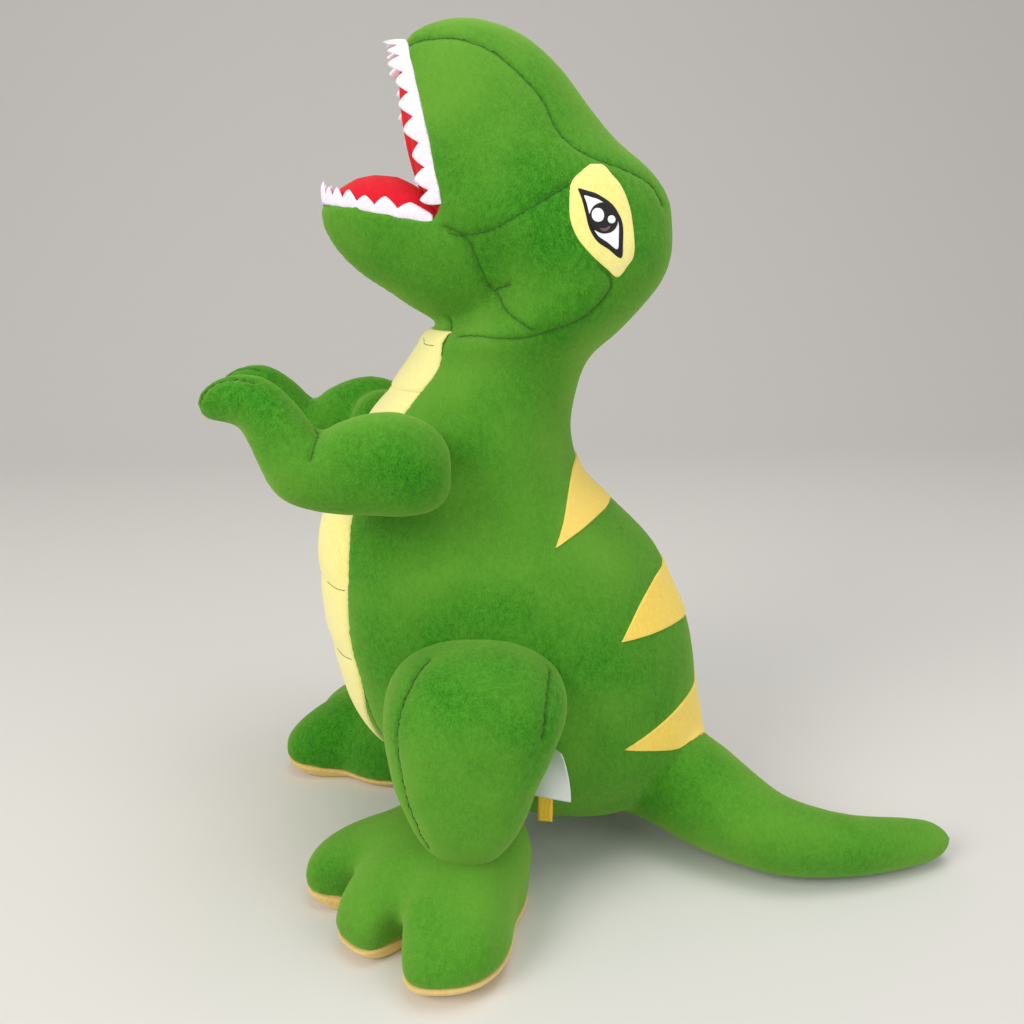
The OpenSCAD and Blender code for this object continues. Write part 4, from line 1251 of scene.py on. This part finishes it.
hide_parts("torso_skin", "torso_filling")
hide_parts("head_skin", "head_filling")
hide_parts("jaw_skin", "jaw_filling")
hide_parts("tail_skin", "tail_filling")
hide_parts("left_arm_skin", "left_arm_filling")
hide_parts("right_arm_skin", "right_arm_filling")
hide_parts("left_thigh_skin", "left_thigh_filling")
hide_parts("right_thigh_skin", "right_thigh_filling")
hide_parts("left_foot_skin", "left_foot_filling")
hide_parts("right_foot_skin", "right_foot_filling")
for piece, node in ((sole, "left_sole"), (right_sole, "right_sole"), (belly_strip, "belly_strip"),
                    (throat_strip, "throat_strip"), (nape, "nape_band"),
                    (stripe_upper, "back_stripe_upper"), (stripe_middle, "back_stripe_middle"),
                    (stripe_lower, "back_stripe_lower"), (roof, "mouth_roof"),
                    (floor, "mouth_floor"), (upper_teeth, "upper_teeth"),
                    (lower_teeth, "lower_teeth"), (label, "care_label"), (ribbon, "ribbon_loop"),
                    (closing, "closing_seam"), (left_eye_pieces[0], "left_eye_patch"),
                    (left_eye_pieces[2], "left_eye"), (left_eye_pieces[3], "left_iris"),
                    (right_eye_pieces[0], "right_eye_patch"), (right_eye_pieces[2], "right_eye"),
                    (right_eye_pieces[3], "right_iris")):
    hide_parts(node)

# %% [markdown]
# ## Studio
#
# A plain pale floor that sweeps to a pale background, one large soft light from the side of the
# window, a weaker one opposite, and even light from all round.  The camera stands to the toy's
# left and a little in front, at head height, and looks down by fifteen degrees.

# %% Floor, lights and camera
def plain(name, colour, rough=0.8):
    """An even matt paint."""
    made = bpy.data.materials.new(name)
    made.use_nodes = True
    made.node_tree.nodes["Principled BSDF"].inputs["Base Color"].default_value = linear(*colour)
    made.node_tree.nodes["Principled BSDF"].inputs["Roughness"].default_value = rough
    return made


sweep = np.linspace(0, np.pi / 2, 24)
across = np.concatenate([[5], -1.5 - 1.6 * np.sin(sweep), [-3.1]])
height = np.concatenate([[0], 1.6 - 1.6 * np.cos(sweep), [7]])
edges = np.stack([np.tile(across, 2), np.repeat([-9.0, 9.0], 26), np.tile(height, 2)], -1)
ground = new_object("studio_floor", edges, grid_faces(2, 26, False))
ground.data.materials.append(plain("studio_floor_paint", (222, 219, 214)))


def soft_light(name, at, aim, size, power, colour):
    """A round soft light standing at one place and turned towards another."""
    data = bpy.data.lights.new(name, "AREA")
    data.shape, data.size, data.energy, data.color = "DISK", size, power, colour
    lamp = bpy.data.objects.new(name, data)
    bpy.context.scene.collection.objects.link(lamp)
    lamp.location = at
    lamp.rotation_euler = (Vector(aim) - Vector(at)).to_track_quat("-Z", "Y").to_euler()
    return lamp


soft_light("window", (1.3, -1.7, 1.5), (0, 0, 0.3), 1.3, 30, (1.0, 0.98, 0.95))
soft_light("fill", (1.6, 1.5, 1.2), (0, 0, 0.25), 1.6, 11, (0.96, 0.98, 1.0))
soft_light("top", (0.2, 0.2, 2.2), (0, 0, 0.3), 1.4, 14, (1.0, 1.0, 1.0))
world = bpy.data.worlds.new("studio")
world.use_nodes = True
world.node_tree.nodes["Background"].inputs["Color"].default_value = linear(226, 226, 227)
world.node_tree.nodes["Background"].inputs["Strength"].default_value = 0.68
bpy.context.scene.world = world

camera_data = bpy.data.cameras.new("camera")
camera_data.lens, camera_data.sensor_width = 33.4, 36
camera_data.clip_end = 50
camera = bpy.data.objects.new("camera", camera_data)
bpy.context.scene.collection.objects.link(camera)
camera.location = (0.6954, -0.1228, 0.4443)
camera.rotation_euler = (math.radians(75.14), 0, math.radians(84))
bpy.context.scene.camera = camera
bpy.context.scene.view_settings.view_transform = "Standard"
